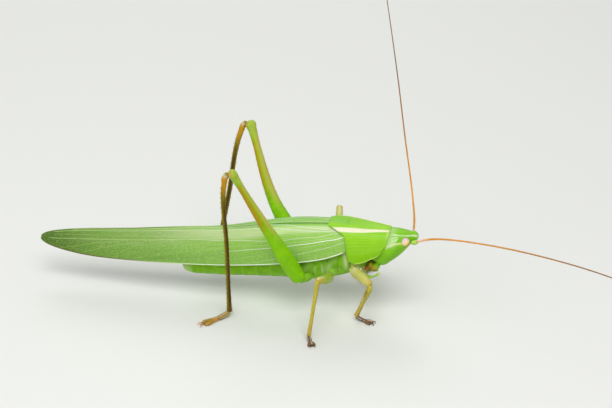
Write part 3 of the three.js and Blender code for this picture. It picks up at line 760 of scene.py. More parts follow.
def wing_coat():
    """Green leather: soft bands from the marks, painted shade along the fold among them, fine lengthwise
    streaks and a net of cells.
    """
    material = bpy.data.materials.new("wing_leather")
    material.use_nodes = True
    tree = material.node_tree
    shader = tree.nodes["Principled BSDF"]
    marks = node(tree, "Attribute", attribute_name="marks")
    band, tip, back = node(tree, "SeparateColor", {"Color": marks.outputs["Color"]}).outputs
    streaks = grain_of(tree, 1.0, (9, 70, 1), 4.0, "UV")
    colour = mixed(tree, ramped(tree, streaks, 0.36, 0.66), tone(132, 190, 58), tone(160, 210, 96))
    # darker towards the hem, and painted shade along the fold
    colour = mixed(tree, marks.outputs["Alpha"], colour, tone(132, 182, 78))
    colour = mixed(tree, back, colour, tone(132, 184, 92))
    pale = mixed(tree, ramped(tree, streaks, 0.3, 0.62), tone(174, 208, 120), tone(206, 226, 168))
    colour = mixed(tree, band, colour, pale)
    clouds = grain_of(tree, 1.0, (6, 14, 1), 2.0, "UV")
    colour = mixed(tree, ramped(tree, clouds, 0.5, 0.75, 0.35), colour, tone(158, 196, 104))
    colour = mixed(tree, tip, colour, tone(60, 96, 0))
    where = node(tree, "TexCoord").outputs["UV"]
    warp = node(tree, "Mapping", {"Vector": where, "Scale": (95, 30, 1)}).outputs["Vector"]
    web = node(tree, "TexVoronoi", {"Vector": warp, "Scale": 1.0}, feature="DISTANCE_TO_EDGE")
    cells = web.outputs["Distance"]
    net = ramped(tree, cells, 0.1, 0.0, 0.35)
    colour = mixed(tree, net, colour, tone(196, 216, 150))
    tree.links.new(colour, shader.inputs["Base Color"])
    bumps = node(tree, "Bump", {
        "Height": ramped(tree, cells, 0.0, 0.2), "Distance": 0.000012, "Strength": 0.5})
    tree.links.new(bumps.outputs["Normal"], shader.inputs["Normal"])
    shader.inputs["Roughness"].default_value = 0.55
    shader.inputs["Specular IOR Level"].default_value = 0.12
    shader.inputs["Subsurface Weight"].default_value = 0.1
    shader.inputs["Subsurface Radius"].default_value = (0.5, 0.8, 0.2)
    shader.inputs["Subsurface Scale"].default_value = 0.0004
    return material


wing_leather = wing_coat()
vein_cream = coat(
    "wing_veins", tone(198, 220, 150), tone(182, 210, 128),
    [tone(238, 246, 226), tone(100, 78, 22), tone(152, 192, 92), tone(164, 208, 30)],
    roughness=0.45, sheen=0.2)

# Each vein: its half-thickness in millimetres, how pale it is, and its places: behind, across.
VEINS = [
    (0.08, 1.0, [(10.2, 0.99), (12, 0.995), (20, 0.995), (30, 0.995), (50, 0.995), (54.5, 0.98)]),
    (0.045, 0.75, [(9.6, 0.79), (11.8, 0.84), (13.4, 0.862), (15.5, 0.892), (20, 0.94), (25, 0.98)]),
    (0.03, 0.35, [(9.6, 0.72), (12, 0.76), (15, 0.79), (20, 0.83), (27, 0.91), (31, 0.98)]),
    (0.07, 1.0, [(9.5, 0.62), (11, 0.684), (12.6, 0.699), (14.2, 0.722), (17.4, 0.747), (20, 0.749),
                 (25.6, 0.735), (28, 0.74)]),
    (0.028, 0.2, [(26, 0.735), (31, 0.78), (36, 0.87), (39, 0.97)]),
    (0.035, 0.5, [(9.6, 0.56), (12, 0.64), (15, 0.67), (20, 0.69), (26, 0.65), (31, 0.68), (37, 0.79),
                  (41.5, 0.96)]),
    (0.055, 0.7, [(10.2, 0.49), (11.5, 0.53), (13.4, 0.588), (15.7, 0.6), (18, 0.62), (22, 0.59),
                  (24.3, 0.545), (27.6, 0.5), (32.6, 0.452), (36.7, 0.454), (45, 0.471), (49.6, 0.505),
                  (53.8, 0.56)]),
    (0.03, 0.3, [(27.6, 0.604), (30.9, 0.702), (33.7, 0.832), (35.9, 0.932), (37, 0.98)]),
    (0.03, 0.3, [(25.5, 0.53), (30, 0.59), (35, 0.7), (40, 0.86), (43, 0.97)]),
    (0.03, 0.3, [(31, 0.47), (36.9, 0.596), (41.5, 0.79), (45, 0.95)]),
    (0.03, 0.25, [(37, 0.455), (42, 0.56), (46.5, 0.74), (49, 0.92)]),
    (0.028, 0.2, [(42, 0.47), (47, 0.6), (50.5, 0.78), (52.3, 0.93)]),
    (0.03, 0.5, [(10.4, 0.47), (14, 0.51), (18, 0.52), (23, 0.47), (28, 0.41), (34, 0.37), (46, 0.36),
                 (53, 0.36)]),
    (0.045, 0.85, [(10.4, 0.44), (11.3, 0.451), (14.5, 0.439), (18.1, 0.371), (20.7, 0.298), (26, 0.24),
                   (34, 0.2), (46, 0.19), (53, 0.2)]),
    (0.045, 0.85, [(10.8, 0.42), (11.3, 0.414), (14.2, 0.356), (16.6, 0.283), (20, 0.21), (26, 0.15),
                   (34, 0.1), (50, 0.08)]),
    (0.028, 0.4, [(10.6, 0.43), (14.2, 0.4), (17, 0.34), (20.5, 0.26), (25, 0.2), (30, 0.16), (40, 0.14)]),
    (0.028, 0.3, [(11.8, 0.25), (15, 0.2), (20, 0.14), (25, 0.09), (30, 0.04)]),
    (0.028, 0.3, [(11.8, 0.14), (15, 0.1), (20, 0.06), (24, 0.02)]),
    (0.03, 0.6, [(11.6, 0.02), (16, 0.012), (24, 0.01), (34, 0.01), (50, 0.01), (54.3, 0.02)]),
]


# The sound-making patch at the wing's root: its half-thickness, how yellow it is, and its places.
SOUND_VEINS = [
    (0.07, 1, [(12.85, 0.24), (13.1, 0.17), (13.45, 0.1), (13.8, 0.07)]),
    (0.05, 0.7, [(13.2, 0.24), (13.5, 0.17), (14.0, 0.13)]),
    (0.06, 0, [(12.4, 0.1), (12.65, 0.09), (12.95, 0.06)]),
]


THICK_VEIN = 0.07
LONG_VEIN_END = 45
EDGE_VEIN_END = 54
VEIN_FLATNESS = 0.7


def add_vein(bm, side, thick, pale, places, yellow=0.0):
    """Adds one vein, a thin tube half sunk in the wing along its places."""
    course = smooth(*places)
    start, end = places[0][0], places[-1][0]

    def place(u, v):
        behind = blend(start, end, u)
        across = np.clip(course(behind), 0, 1)
        spot = wing_spot(side, across, behind)
        beside = wing_spot(side, across + np.where(across > 0.5, -0.01, 0.01), behind)
        ahead = wing_spot(side, across, behind + 0.05)
        forward = unit(ahead - spot)
        flank = unit(beside - spot)
        outward = unit(np.cross(forward, flank))
        outward *= np.sign((outward * np.array([0.0, side, 0.5])).sum(1))[:, None]
        thickness = thick * MM * rounded(u, 0.02) * blend(1.0, 0.8 if end > LONG_VEIN_END else 0.25, u)
        turn = v * 2 * math.pi
        wide = flank * (thickness * np.cos(turn))[:, None]
        return spot + wide + outward * (thickness * VEIN_FLATNESS * np.sin(turn))[:, None]

    def marks(u, v, points):
        behind = blend(start, end, u)
        brown = ease(behind, 32, 46) * (thick > THICK_VEIN) + 0.8 * ease(behind, 38, 50) * (
            end > EDGE_VEIN_END) * (thick < THICK_VEIN)
        dull = np.clip((1 - pale) + 0.5 * ease(behind, 26, 46), 0, 1)
        return pale * (1 - 0.75 * ease(behind, 22, 42)), brown, dull * (1 - yellow) * (1 - brown), yellow

    grow(bm, (max(int((end - start) * 5), 12), 8), place, marks)


for side, name in ((1, "left"), (-1, "right")):
    wing = bmesh.new()
    grow(wing, WING_STEPS, wing_place(side), wing_marks, facing=(0, side, 0))
    made = piece(f"fore_wing_{name}_leather", wing, wing_leather, "fore_wing", f"fore_wing_{name}")
    wall = made.modifiers.new("wall", "SOLIDIFY")
    wall.thickness = WING_WALL
    wall.offset = -1
    veins = bmesh.new()
    for thick, pale, places in VEINS:
        add_vein(veins, side, thick, pale, places)
    for thick, yellow, places in SOUND_VEINS:
        add_vein(veins, side, thick, 0.8, places, yellow)
    piece(f"fore_wing_{name}_veins", veins, vein_cream, "fore_wing")

# ---------------------------------------------------------------- hind wings
# The hind wings are thin clear fans, pleated lengthwise and shut away between the fore wings.

HIND_WING_FROM = 14.0
HIND_WING_TO = 50.5
PLEATS = 6
PLEAT_DEPTH = 0.09
FAN_WALL = 0.04 * MM
FAN_STEPS = (160, 36)
fan_top = smooth((14, 1.3), (20, 1.2), (27, 0.8), (34, 0.6), (42, 0.5), (47, 0.3), (50.5, -0.5))
fan_hem = smooth((14, 0.9), (20, 0.6), (27, -0.6), (34, -1.9), (42, -1.8), (47, -1.4), (50.5, -0.7))
fan_clear = coat(
    "hind_wing_membrane", tone(196, 206, 170), tone(178, 194, 148), [tone(150, 170, 110)],
    roughness=0.3, through=0.2)


def pleat(v):
    """1 on the fold lines of the fan and 0 half way between them."""
    return np.abs(((v * PLEATS) % 1) * 2 - 1)


for side, name in ((1, "left"), (-1, "right")):
    def fan_place(u, v):
        behind = blend(HIND_WING_FROM, HIND_WING_TO, u)
        fold = PLEAT_DEPTH * pleat(v)
        return on_trunk(behind, side * (0.12 + fold), blend(fan_hem(behind), fan_top(behind), v))

    fan = bmesh.new()
    grow(fan, FAN_STEPS, fan_place, lambda u, v, points: (ease(pleat(v), 0.75, 0.95),), facing=(0, side, 0))
    made = piece(f"hind_wing_{name}_fan", fan, fan_clear, "hind_wing", f"hind_wing_{name}")
    wall = made.modifiers.new("wall", "SOLIDIFY")
    wall.thickness = FAN_WALL
    wall.offset = 0

# ---------------------------------------------------------------- legs
# Six hard-skinned jointed legs: a short coxa set in the thorax, the thigh, the shin and a foot of
# four lobed segments with two claws. The long hind legs jump, and their shins carry spines.

# Joints in millimetres: the coxa's root, the hip, where the thigh bows, the knee, ankle and toe.
LEGS = {
    "fore_right": [(18.6, -1.3, 9.2), (17.95, -2.55, 7.5), (19.45, -3.95, 7.55), (21.05, -5.3, 7.05),
                   (18.7, -3.2, 0.62), (21.3, -3.95, 0.3)],
    "fore_left": [(18.6, 1.3, 9.2), (17.95, 2.55, 7.5), (18.95, 4.35, 7.65), (19.8, 6.2, 7.2),
                  (17.3, 9.2, 0.62), (18.4, 11.8, 0.3)],
    "middle_right": [(15.1, -1.2, 6.9), (15.0, -2.9, 6.4), (14.9, -6.0, 7.7), (14.35, -9.0, 9.1),
                     (13.3, -9.9, 0.62), (14.15, -11.6, 0.3)],
    "middle_left": [(15.1, 1.2, 6.9), (14.8, 2.9, 6.6), (14.5, 5.8, 9.1), (14.05, 8.6, 11.6),
                    (12.6, 10.2, 0.62), (13.4, 12.0, 0.3)],
    "hind_right": [(11.9, -1.4, 5.6), (10.9, -3.5, 5.5), (6.2, -5.5, 15.0), (2.05, -7.5, 23.98),
                   (1.15, -5.7, 0.72), (-2.2, -9.1, 0.3)],
    "hind_left": [(11.9, 1.4, 5.6), (10.6, 3.5, 5.5), (5.7, 5.3, 12.0), (1.1, 8.5, 23.8),
                  (-4.2, 8.6, 0.72), (-7.5, 11.3, 0.3)],
}
# From the knee to where the shin runs straight, in millimetres.
KNEE_STEP = {
    "fore_right": (-0.3, 0, -0.95), "fore_left": (-0.3, 0.1, -0.95), "middle_right": (-0.1, 0, -0.95),
    "middle_left": (-0.1, 0, -0.95), "hind_right": (-0.93, 0, -1.4), "hind_left": (-1.13, 0, -1.05),
}
COXA = {
    "fore": smooth((0, 0.55), (0.5, 0.7), (1, 0.5)),
    "middle": smooth((0, 0.62), (0.5, 0.78), (1, 0.52)),
    "hind": smooth((0, 0.62), (0.5, 0.72), (1, 0.42)),
}
THIGH = {
    "fore": smooth((0, 0.5), (0.12, 0.7), (0.4, 0.72), (0.75, 0.62), (0.92, 0.5), (1, 0.44)),
    "middle": smooth((0, 0.42), (0.12, 0.68), (0.35, 0.7), (0.8, 0.5), (0.92, 0.46), (1, 0.42)),
    "hind": smooth((0, 0.84), (0.03, 1.0), (0.09, 1.12), (0.2, 1.17), (0.34, 1.0), (0.52, 0.74), (0.7, 0.58),
                   (0.86, 0.5), (0.93, 0.58), (0.97, 0.64), (1, 0.6)),
}
SHIN = {
    "fore": smooth((0, 0.32), (0.05, 0.38), (0.16, 0.39), (0.28, 0.36), (0.4, 0.31), (0.9, 0.3), (1, 0.33)),
    "middle": smooth((0, 0.32), (0.05, 0.36), (0.2, 0.32), (0.9, 0.29), (1, 0.32)),
    "hind": smooth((0, 0.36), (0.03, 0.43), (0.1, 0.38), (0.2, 0.35), (0.6, 0.33), (0.92, 0.35), (1, 0.41)),
}
COXA_FLATNESS = 0.9
FLATNESS = {"fore": 0.85, "middle": 0.85, "hind": 0.72}
SHIN_FLATNESS = {"fore": 0.9, "middle": 0.9, "hind": 0.82}
LEFT_THIGH_FULLNESS = 1.06
LEFT_THIGH_FLATNESS = 0.86
# Where each shin starts and how thick the ring between coxa and thigh is, as shares.
SHIN_START = {"fore": 0.0, "middle": 0.0, "hind": 0.3}
TROCHANTER = {"fore": 0.74, "middle": 0.74, "hind": 0.3}
HUB_INSET = 0.45
FOOT_FULLNESS = {"fore": 0.92, "middle": 0.92, "hind": 1.18}


SPIKE_TIP = 0.12


def spike(bm, root, tip, thick, mark, sides=5):
    """Adds one straight spine or hair from a root to a tip, both in metres."""
    paint = bm.verts.layers.float_color["marks"]
    root, tip = Vector(root), Vector(tip)
    length = (tip - root).length
    aim = (tip - root).to_track_quat("Z", "Y").to_matrix().to_4x4()
    made = bmesh.ops.create_cone(
        bm, cap_ends=True, segments=sides, radius1=thick * MM, radius2=thick * MM * SPIKE_TIP, depth=length,
        matrix=Matrix.Translation((root + tip) / 2) @ aim)["verts"]
    for vert in made:
        vert[paint] = mark


def row_of(bm, surface, shares, turn, length, thick, mark, lean=0.6):
    """Adds a row of spines along a tube, each leaning towards the tube's far end."""
    shares = np.array(shares, float)
    spots, outward, forward = surface(shares, np.full(len(shares), turn, float))
    tips = spots + unit(outward + lean * forward) * length
    for root, tip in zip(standing(*(spots - outward * 0.04).T), standing(*tips.T)):
        spike(bm, root, tip, thick, mark)


def fuzz(bm, surface, count, start, end, length, mark, seed, seat=standing, thick=0.012):
    """Adds fine hairs scattered over part of a tube, leaning towards its far end."""
    draw = np.random.default_rng(seed)
    shares = draw.uniform(start, end, count)
    spots, outward, forward = surface(shares, draw.uniform(0, 2 * math.pi, count))
    aim = unit(outward + forward * draw.uniform(0.4, 1.1, count)[:, None] + draw.normal(0, 0.18, (count, 3)))
    tips = spots + aim * (length * draw.uniform(0.6, 1.2, count))[:, None]
    for root, tip in zip(seat(*(spots - outward * 0.02).T), seat(*tips.T)):
        spike(bm, root, tip, thick, mark, 3)


leg_green = coat(
    "hind_thigh_shell", tone(134, 198, 2), tone(120, 184, 2),
    [tone(172, 140, 4), tone(190, 180, 84), tone(164, 184, 66), tone(188, 142, 70)],
    roughness=0.42, sheen=0.15)
leg_yellow = coat(
    "leg_shell", tone(192, 188, 74), tone(176, 170, 58),
    [tone(228, 220, 172), tone(190, 146, 36), tone(112, 72, 30), tone(152, 182, 44)],
    roughness=0.42, sheen=0.22)
shank_ochre = coat(
    "hind_shin_shell", tone(138, 124, 14), tone(120, 104, 12),
    [tone(60, 38, 4), tone(236, 226, 196), tone(198, 142, 14), tone(116, 84, 28)], roughness=0.45, sheen=0.12)
# The feet's first, cream tint colours their hairs and pale parts, and the pale streaks that are a painted
# highlight.
foot_dark = coat(
    "foot_shell", tone(84, 58, 62), tone(60, 40, 42),
    [tone(214, 198, 170), tone(150, 112, 50), tone(56, 38, 36), tone(190, 146, 106)], roughness=0.4)
foot_pale = coat(
    "hind_foot_shell", tone(134, 114, 44), tone(108, 88, 30),
    [tone(224, 206, 166), tone(200, 138, 52), tone(172, 134, 44), tone(206, 144, 104)], roughness=0.4)
# What colours the hairs and the spines, for the front four legs and for the hind ones.
HAIR_MARK = (1, 0, 0, 0)
THIGH_HAIR = {"fore": HAIR_MARK, "middle": HAIR_MARK, "hind": (0, 1, 0, 0)}
SHIN_HAIR = {"fore": HAIR_MARK, "middle": HAIR_MARK, "hind": (0, 0.35, 0, 0)}
SPINE_MARK = {"fore": (0, 0.5, 0.2, 0), "middle": (0, 0.5, 0.2, 0), "hind": (0, 0, 0.3, 0.3)}
COXA_MARKS = {
    "fore": lambda u, v, points: (0.3, 0, 0, 0.8 - 0.4 * ease(u, 0.4, 0.8)),
    "middle": lambda u, v, points: (0.3 * ease(u, 0.75, 1), 0.3 * ease(u, 0.9, 0.97), 0.3),
    "hind": lambda u, v, points: (0.1 * ease(u, 0.75, 1), 0, 0.15),
}


def hind_thigh_marks(u, v, points):
    under = 0.5 + 0.5 * np.cos(v * 2 * math.pi)
    over = 1 - under
    far = ease(u, 0.4, 0.62) * (1 - ease(u, 0.84, 0.93))
    edge = ease(over, 0.62, 0.95) * ease(u, 0.3, 0.55) * (1 - ease(u, 0.95, 1.0))
    knee = ease(u, 0.86, 0.94)
    joint = ease(u, 0.955, 0.985) * ease(under, 0.35, 0.6)
    return far * blend(0.35, 1, ease(under, 0.2, 0.7)), 0.85 * edge, 0.85 * knee, 0.75 * joint


def fore_thigh_marks(u, v, points):
    base = (1 - ease(u, 0.1, 0.4)) * 0.7
    streaks = 0.4 * ease(np.sin(v * 26 * math.pi + 3 * u), 0.2, 0.9) * ease(u, 0.08, 0.3)
    orange = 0.4 * ease(u, 0.8, 0.98)
    return base + 0.12 + streaks, orange, 0.2 * ease(u, 0.96, 1), 0.15 * (1 - ease(u, 0.6, 0.92))


def middle_thigh_marks(u, v, points):
    line = 0.6 * ease(-np.cos(v * 2 * math.pi), 0.6, 0.95) * ease(u, 0.5, 0.8)
    orange = 0.4 * ease(u, 0.8, 0.98) * (1 - line)
    return line, orange, 0.2 * ease(u, 0.96, 1), 0.9 * (1 - ease(u, 0.6, 0.92))


THIGH_MARKS = {"fore": fore_thigh_marks, "middle": middle_thigh_marks, "hind": hind_thigh_marks}


def hind_shin_marks(u, v, points):
    flank = np.abs(np.sin(v * 2 * math.pi))
    front_stripe = ease(np.sin(v * 2 * math.pi + 0.35), 0.8, 0.97)
    stripe = front_stripe + ease(-np.sin(v * 2 * math.pi - 0.35), 0.8, 0.97)
    stripe = np.maximum(stripe, ease(flank, 0.86, 0.97) * 0.6) * ease(u, 0.08, 0.3)
    head = bell(u, 0.028, 0.014) * (np.cos(v * 2 * math.pi) < 0.2)
    orange = (1 - ease(u, 0.06, 0.2)) * ease(u, 0.02, 0.04) * 0.8
    return 0.9 * stripe, 0.6 * head, orange, 0.6 * ease(u, 0.9, 1.0)


def shin_marks_of(streak_strength):
    def marks(u, v, points):
        streak = ease(np.abs(np.sin(v * 2 * math.pi)), 0.7, 0.95) * bell(u, 0.2, 0.12)
        brown = streak_strength * streak + 0.4 * ease(u, 0.93, 1)
        return 0.02, 0.4 + 0.3 * ease(u, 0.7, 1), brown, 0.15 * (1 - ease(u, 0.3, 0.6))
    return marks


SHIN_MARKS = {"fore": shin_marks_of(0.6), "middle": shin_marks_of(0.2), "hind": hind_shin_marks}


def foot_marks(u, v, mark, shows_painted_highlight):
    """One foot joint's marks: the first two have pale streaks, a painted highlight, along their back and dark
    ends.
    """
    pale, *rest = mark
    # cream streaks round the first two joints: a painted highlight
    streaks = 0.75 * ease(np.cos(v * 10 * math.pi), 0.0, 0.7) * shows_painted_highlight
    ends = ease(u, 0.86, 0.97) * 0.6
    return np.clip(pale + streaks - ends, 0, 1), *rest


for name, corners in LEGS.items():
    pair = name.split("_")[0]
    sign = 1 if name.endswith("left") else -1
    hind = pair == "hind"
    root, hip, bow, knee, ankle, toe = (np.array(corner, float) for corner in corners)
    across = np.cross(knee - hip, ankle - knee)
    across /= np.linalg.norm(across)
    ahead = (1, 0, 0)

    coxa = bmesh.new()
    hub = hip - np.array([0, sign * HUB_INSET, 0])
    coxa_way = route(root, blend(root, hub, 0.5), hub)
    limb(coxa, coxa_way, (36, 30), COXA[pair], lambda u: COXA[pair](u) * COXA_FLATNESS, ahead, cap=0.22,
         marks=COXA_MARKS[pair])
    coxa_coat = leg_yellow if pair == "fore" else body_green
    piece(f"{name}_coxa_shell", coxa, coxa_coat, "shell_green", f"{name}_coxa")

    thigh = bmesh.new()
    thigh_way = route(hip, bow, knee)

    def thigh_relief(share, turn):
        ribs = 0.012 * np.sin(share * 150 + 5 * np.abs(np.sin(turn))) * ease(np.abs(np.sin(turn)), 0.4, 0.8)
        ridges = 0.03 * bell(np.abs(np.cos(turn)), 0.62, 0.06)
        lobes = 0.14 * ease(share, 0.93, 0.97) * ease(np.abs(np.sin(turn)), 0.3, 0.8) * (np.cos(turn) > -0.6)
        return (ribs * (share < 0.75) + ridges + lobes) if hind else 0.4 * (ridges + lobes)

    fuller = LEFT_THIGH_FULLNESS if name == "hind_left" else 1.0
    flat = LEFT_THIGH_FLATNESS if name == "hind_left" else FLATNESS[pair]

    def thigh_wide(u):
        return THIGH[pair](u) * fuller

    def thigh_thin(u):
        return thigh_wide(u) * blend(flat, flat + 0.12, ease(u, 0.4, 0.6))

    limb(thigh, thigh_way, (220 if hind else 110, 48), thigh_wide, thigh_thin, across, THIGH_MARKS[pair],
         cap=0.035 if hind else 0.07, relief=thigh_relief)
    # the trochanter, a short ring between coxa and thigh
    limb(thigh, route(hub - (hip - hub) * 0.2, blend(hub, hip, 0.7), blend(hip, bow, 0.12)), (20, 28),
         lambda u: thigh_wide(0.06) * TROCHANTER[pair], None, across, cap=0.4,
         marks=None if hind else lambda u, v, points: (0.3, 0, 0, 0.4))
    surface = tube(thigh_way, thigh_wide, thigh_thin, across, 0.035)
    for turn in (0.45, -0.45):
        row_of(thigh, surface, np.linspace(0.5, 0.9, 7 if hind else 5), turn, 0.16, 0.035, (0, 0, 0, 1))
    fuzz(thigh, surface, 120 if hind else 200, 0.04, 0.95, 0.28, THIGH_HAIR[pair], 7 + len(name))
    if pair == "fore":
        fuzz(thigh, surface, 70, 0.04, 0.35, 0.4, HAIR_MARK, 90 + sign, thick=0.02)
    piece(f"{name}_thigh", thigh, leg_green if hind else leg_yellow, "shell_green" if hind else "leg_yellow",
          f"{name}_femur")

    shin = bmesh.new()
    step = np.array(KNEE_STEP[name])
    straight = knee + step
    shin_way = route(knee + step * SHIN_START[pair], knee + step * 0.78,
                     blend(straight, ankle, 0.04), blend(straight, ankle, 0.5), ankle)
    shin_wide = SHIN[pair]

    def shin_thin(u):
        return shin_wide(u) * SHIN_FLATNESS[pair]

    def shin_relief(share, turn):
        corners_of_section = 0.045 * np.cos(2 * turn * 2 + math.pi)
        middle = np.exp(-(((share - 0.19) / 0.055) ** 4))
        slit = -0.16 * middle * bell(np.abs(np.sin(turn)), 1, 0.05) * (pair == "fore")
        return corners_of_section * ease(share, 0.04, 0.12) + slit

    limb(shin, shin_way, (240 if hind else 110, 32), shin_wide, shin_thin, across, SHIN_MARKS[pair],
         cap=0.018 if hind else 0.05, relief=shin_relief)
    surface = tube(shin_way, shin_wide, shin_thin, across, 0.02)
    for turn, first, count, long in (
            (math.pi - 0.6, 0.1, 26, 0.27), (math.pi + 0.6, 0.12, 26, 0.27), (0.55, 0.3, 12, 0.22),
            (-0.55, 0.3, 12, 0.22)):
        if hind or abs(turn) < 1:
            shares = np.linspace(first, 0.96, count if hind else 6)
            row_of(shin, surface, shares, turn, long, 0.04, SPINE_MARK[pair])
    for turn in (math.pi - 0.8, math.pi + 0.8, 0.7, -0.7):
        row_of(shin, surface, [0.975], turn, 0.6 if hind else 0.3, 0.06, SPINE_MARK[pair], lean=2.2)
    fuzz(shin, surface, 260 if hind else 160, 0.05, 0.97, 0.25, SHIN_HAIR[pair], 31 + len(name))
    piece(f"{name}_shin", shin, shank_ochre if hind else leg_yellow, "hind_shank" if hind else "leg_yellow",
          f"{name}_tibia")

    foot = bmesh.new()
    length = float(np.linalg.norm((toe - ankle)[:2]))
    ahead_x, ahead_y = (toe - ankle)[:2] / length

    def on_foot(along, aside, up):
        x = ankle[0] + along * ahead_x - aside * ahead_y
        return standing(x, ankle[1] + along * ahead_y + aside * ahead_x, np.maximum(up, 0))

    start = ankle[2]
    parts = (
        # along, aside, up of each corner; half-width and half-height; marks of a hind foot and of others
        ([(-0.1, 0, start), (0.16 * length, 0, start * 0.75), (0.43 * length, 0, 0.3)],
         ((0, 0.26), (0.3, 0.32), (1, 0.34)), ((0, 0.26), (1, 0.28)), (0.1, 0, 0.3, 0), (0.1, 0, 0, 0)),
        ([(0.4 * length, 0, 0.3), (0.5 * length, 0, 0.28), (0.6 * length, 0, 0.26)],
         ((0, 0.28), (0.6, 0.34), (1, 0.36)), ((0, 0.26), (1, 0.27)), (0.1, 0.6, 0, 0), (0, 0, 0, 0.1)),
        *(([(0.56 * length, way * 0.1, 0.3), (0.7 * length, way * 0.26, 0.26),
            (0.9 * length, way * 0.36, 0.22)],
           ((0, 0.2), (0.6, 0.3), (1, 0.26)), ((0, 0.24), (1, 0.2)), (0, 0, 1, 0), (0, 0.5, 0, 0))
          for way in (1, -1)),
        ([(0.62 * length, 0, 0.42), (0.8 * length, 0, 0.52), (0.98 * length, 0, 0.4)],
         ((0, 0.16), (0.6, 0.15), (1, 0.2)), ((0, 0.15), (1, 0.17)), (0.2, 0, 0.5, 0), (0.5, 0, 0, 0.2)),
        *(([(0.95 * length, way * 0.08, 0.4), (1.02 * length, way * 0.28, 0.4),
            (1.07 * length, way * 0.36, 0.06)],
           ((0, 0.1), (1, 0.03)), ((0, 0.1), (1, 0.03)), (0, 0.2, 0, 0.8), (0, 0.2, 0.2, 0))
          for way in (1, -1)),
    )
    for part, (places, widths, heights, hind_mark, other_mark) in enumerate(parts):
        wide, thin = smooth(*widths), smooth(*heights)
        mark = hind_mark if hind else other_mark
        claw, shows_painted_highlight = part >= 5, part < 2
        scale = 1 if claw else FOOT_FULLNESS[pair]

        def part_wide(u):
            return wide(u) * scale

        def part_thin(u):
            return thin(u) * scale

        limb(foot, route(*places), (24, 20), part_wide, part_thin, (0, 0, 1), seat=on_foot,
             cap=0.05 if claw else 0.2, marks=lambda u, v, points: foot_marks(u, v, mark, shows_painted_highlight))
        if not claw:
            surface = tube(route(*places), part_wide, part_thin, (0, 0, 1), 0.2)
            fuzz(foot, surface, 22, 0.1, 0.9, 0.14, HAIR_MARK, 50 + part, on_foot, 0.01)
    piece(f"{name}_foot", foot, foot_pale if hind else foot_dark, "hind_shank" if hind else "foot",
          f"{name}_tarsus")

# ---------------------------------------------------------------- feelers
# Each feeler is a thread longer than the body: a stout first joint set in a socket of the head,
# a small second one, and hundreds of fine rings that thin out to a hair.

WHIPS = {
    "right": [on_trunk(-0.62, -1.15, 0.0), standing(28.6, -1.4, 13.0), standing(30.2, -1.95, 13.49),
              standing(32.6, -2.8, 13.99), standing(35.7, -4.0, 14.51),
              standing(45.6, -8.0, 15.49), standing(54.1, -12.0, 15.8), standing(70.5, -20.5, 13.8)],
    "left": [on_trunk(0.92, 1.5, 0.5), standing(25.86, 1.5, 13.25), standing(25.2, 4.0, 16.35),
             standing(24.3, 7.0, 18.3), standing(23.1, 11.0, 20.3), standing(19.9, 22.0, 26.15),
             standing(14.6, 38.5, 36.4)],
}
WHIP_RINGS = 150
whip_half = smooth((0, 0.15), (0.04, 0.13), (0.3, 0.1), (1, 0.05))
# Where each stout first joint runs from the head, and where the small second one ends.
SCAPES = {
    "right": [(0.95, -0.8, -0.5), (0.62, -1.0, -0.42), (0.36, -1.1, -0.34), (0.02, -1.13, -0.2)],
    "left": [(0.95, 0.8, -0.5), (0.8, 1.06, -0.46), (0.82, 1.26, -0.1), (0.92, 1.4, 0.2)],
}
SECOND_JOINT_ENDS = {"right": (-0.66, -1.15, 0.01), "left": (0.94, 1.5, 0.56)}
ROOT_PINK = {"right": 0.7, "left": 0.2}
whip_orange = coat(
    "feeler_rings", tone(220, 150, 40), tone(204, 134, 32),
    [tone(230, 190, 160), tone(136, 94, 44), tone(96, 62, 32), tone(168, 208, 80)], roughness=0.4)


def ring_of(u):
    """How far along its own ring each place on the thread is; the rings lengthen outwards."""
    return (u * WHIP_RINGS * blend(1.5, 1, u)) % 1


def scape_marks(u, v, points):
    return 0.25 * ease(u, 0.9, 1), 0, 0, 1 - 0.4 * ease(u, 0.85, 1)


for name in ("left", "right"):
    feeler = bmesh.new()
    base = SCAPES[name]
    limb(feeler, route(*base), (40, 24), smooth((0, 0.24), (0.3, 0.32), (0.75, 0.3), (1, 0.22)),
         seat=on_trunk, cap=0.12, marks=scape_marks)
    joint, after = base[-1], SECOND_JOINT_ENDS[name]
    limb(feeler, route(joint, blend(np.array(joint), np.array(after), 0.5), after), (16, 20),
         smooth((0, 0.17), (0.6, 0.2), (1, 0.15)), seat=on_trunk, cap=0.2,
         marks=lambda u, v, points: (0.9, 0, 0, 0))
    way = route(*WHIPS[name])

    def whip_place(u, v):
        spot, forward = way(u)
        flank = unit(np.cross(forward, np.array([0.0, 0.0, 1.0])))
        lift = np.cross(flank, forward)
        ring = ring_of(u)
        swell = 1 + 0.16 * ease(ring, 0.0, 0.85) * (1 - ease(ring, 0.9, 1.0))
        thick = whip_half(u) * swell * rounded(u, 0.002) * MM
        turn = v * 2 * math.pi
        return spot + flank * (thick * np.cos(turn))[:, None] + lift * (thick * np.sin(turn))[:, None]

    def whip_marks(u, v, points):
        pink = ROOT_PINK[name] * (1 - ease(u, 0.0, 0.03))
        return pink, ease(u, 0.1, 0.6), 0.5 * ease(ring_of(u), 0.8, 0.95) * ease(u, 0.1, 0.4), 0

    grow(feeler, (WHIP_RINGS * 7, 10), whip_place, whip_marks)
    piece(f"feeler_{name}_thread", feeler, whip_orange, "feeler",
          f"feeler_base_{name}", f"feeler_near_{name}", f"feeler_far_{name}")

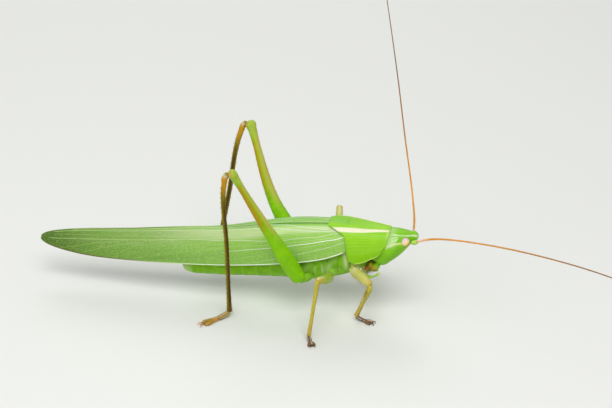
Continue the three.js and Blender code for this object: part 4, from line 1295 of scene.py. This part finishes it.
# ---------------------------------------------------------------- floor, light and camera
# A plain pale floor under soft studio light, and the camera: a little in front of the insect's
# right side and well above it, with a long lens.

FLOOR_SIZE = 3.0
bpy.ops.mesh.primitive_plane_add(size=FLOOR_SIZE, location=(0, 0, 0))
floor = bpy.context.object
floor.name = "floor"
paper = bpy.data.materials.new("paper")
paper.use_nodes = True
matt = paper.node_tree.nodes["Principled BSDF"]
matt.inputs["Base Color"].default_value = tone(226, 226, 222)
matt.inputs["Roughness"].default_value = 0.9
floor.data.materials.append(paper)

world = bpy.data.worlds.new("studio")
bpy.context.scene.world = world
world.use_nodes = True
sky = world.node_tree.nodes["Background"]
sky.inputs["Color"].default_value = tone(236, 240, 240)
sky.inputs["Strength"].default_value = 0.42
# Each light: its name, where it stands and where it points in millimetres, its size in metres
# and its power in watts.
LIGHTS = [
    ("key", (60, -180, 320), (0, 0, 8), 0.22, 0.95),
    ("fill", (-260, -200, 140), (0, 0, 8), 0.3, 0.3),
    ("rim", (-80, 260, 240), (0, 0, 10), 0.2, 0.35),
]
for name, spot, aim, wide, power in LIGHTS:
    lamp = bpy.data.lights.new(name, "AREA")
    lamp.size = wide
    lamp.energy = power
    made = bpy.data.objects.new(name, lamp)
    made.location = Vector(standing(*spot))
    made.rotation_euler = (Vector(standing(*aim)) - made.location).to_track_quat("-Z", "Y").to_euler()
    bpy.context.collection.objects.link(made)

CAMERA_SPOT = (66.79963, -274.67962, 164.93425)
CAMERA_TURN = math.radians(11.5)
CAMERA_LIFT = math.radians(28)
LENS_LENGTH = 135
FILM_WIDTH = 36
lens = bpy.data.cameras.new("camera")
lens.lens = LENS_LENGTH
lens.sensor_width = FILM_WIDTH
lens.clip_start = 0.01
camera = bpy.data.objects.new("camera", lens)
camera.location = Vector(standing(*CAMERA_SPOT))
camera.rotation_euler = (math.pi / 2 - CAMERA_LIFT, 0, CAMERA_TURN)
bpy.context.collection.objects.link(camera)
bpy.context.scene.camera = camera
bpy.context.scene.view_settings.view_transform = "Standard"
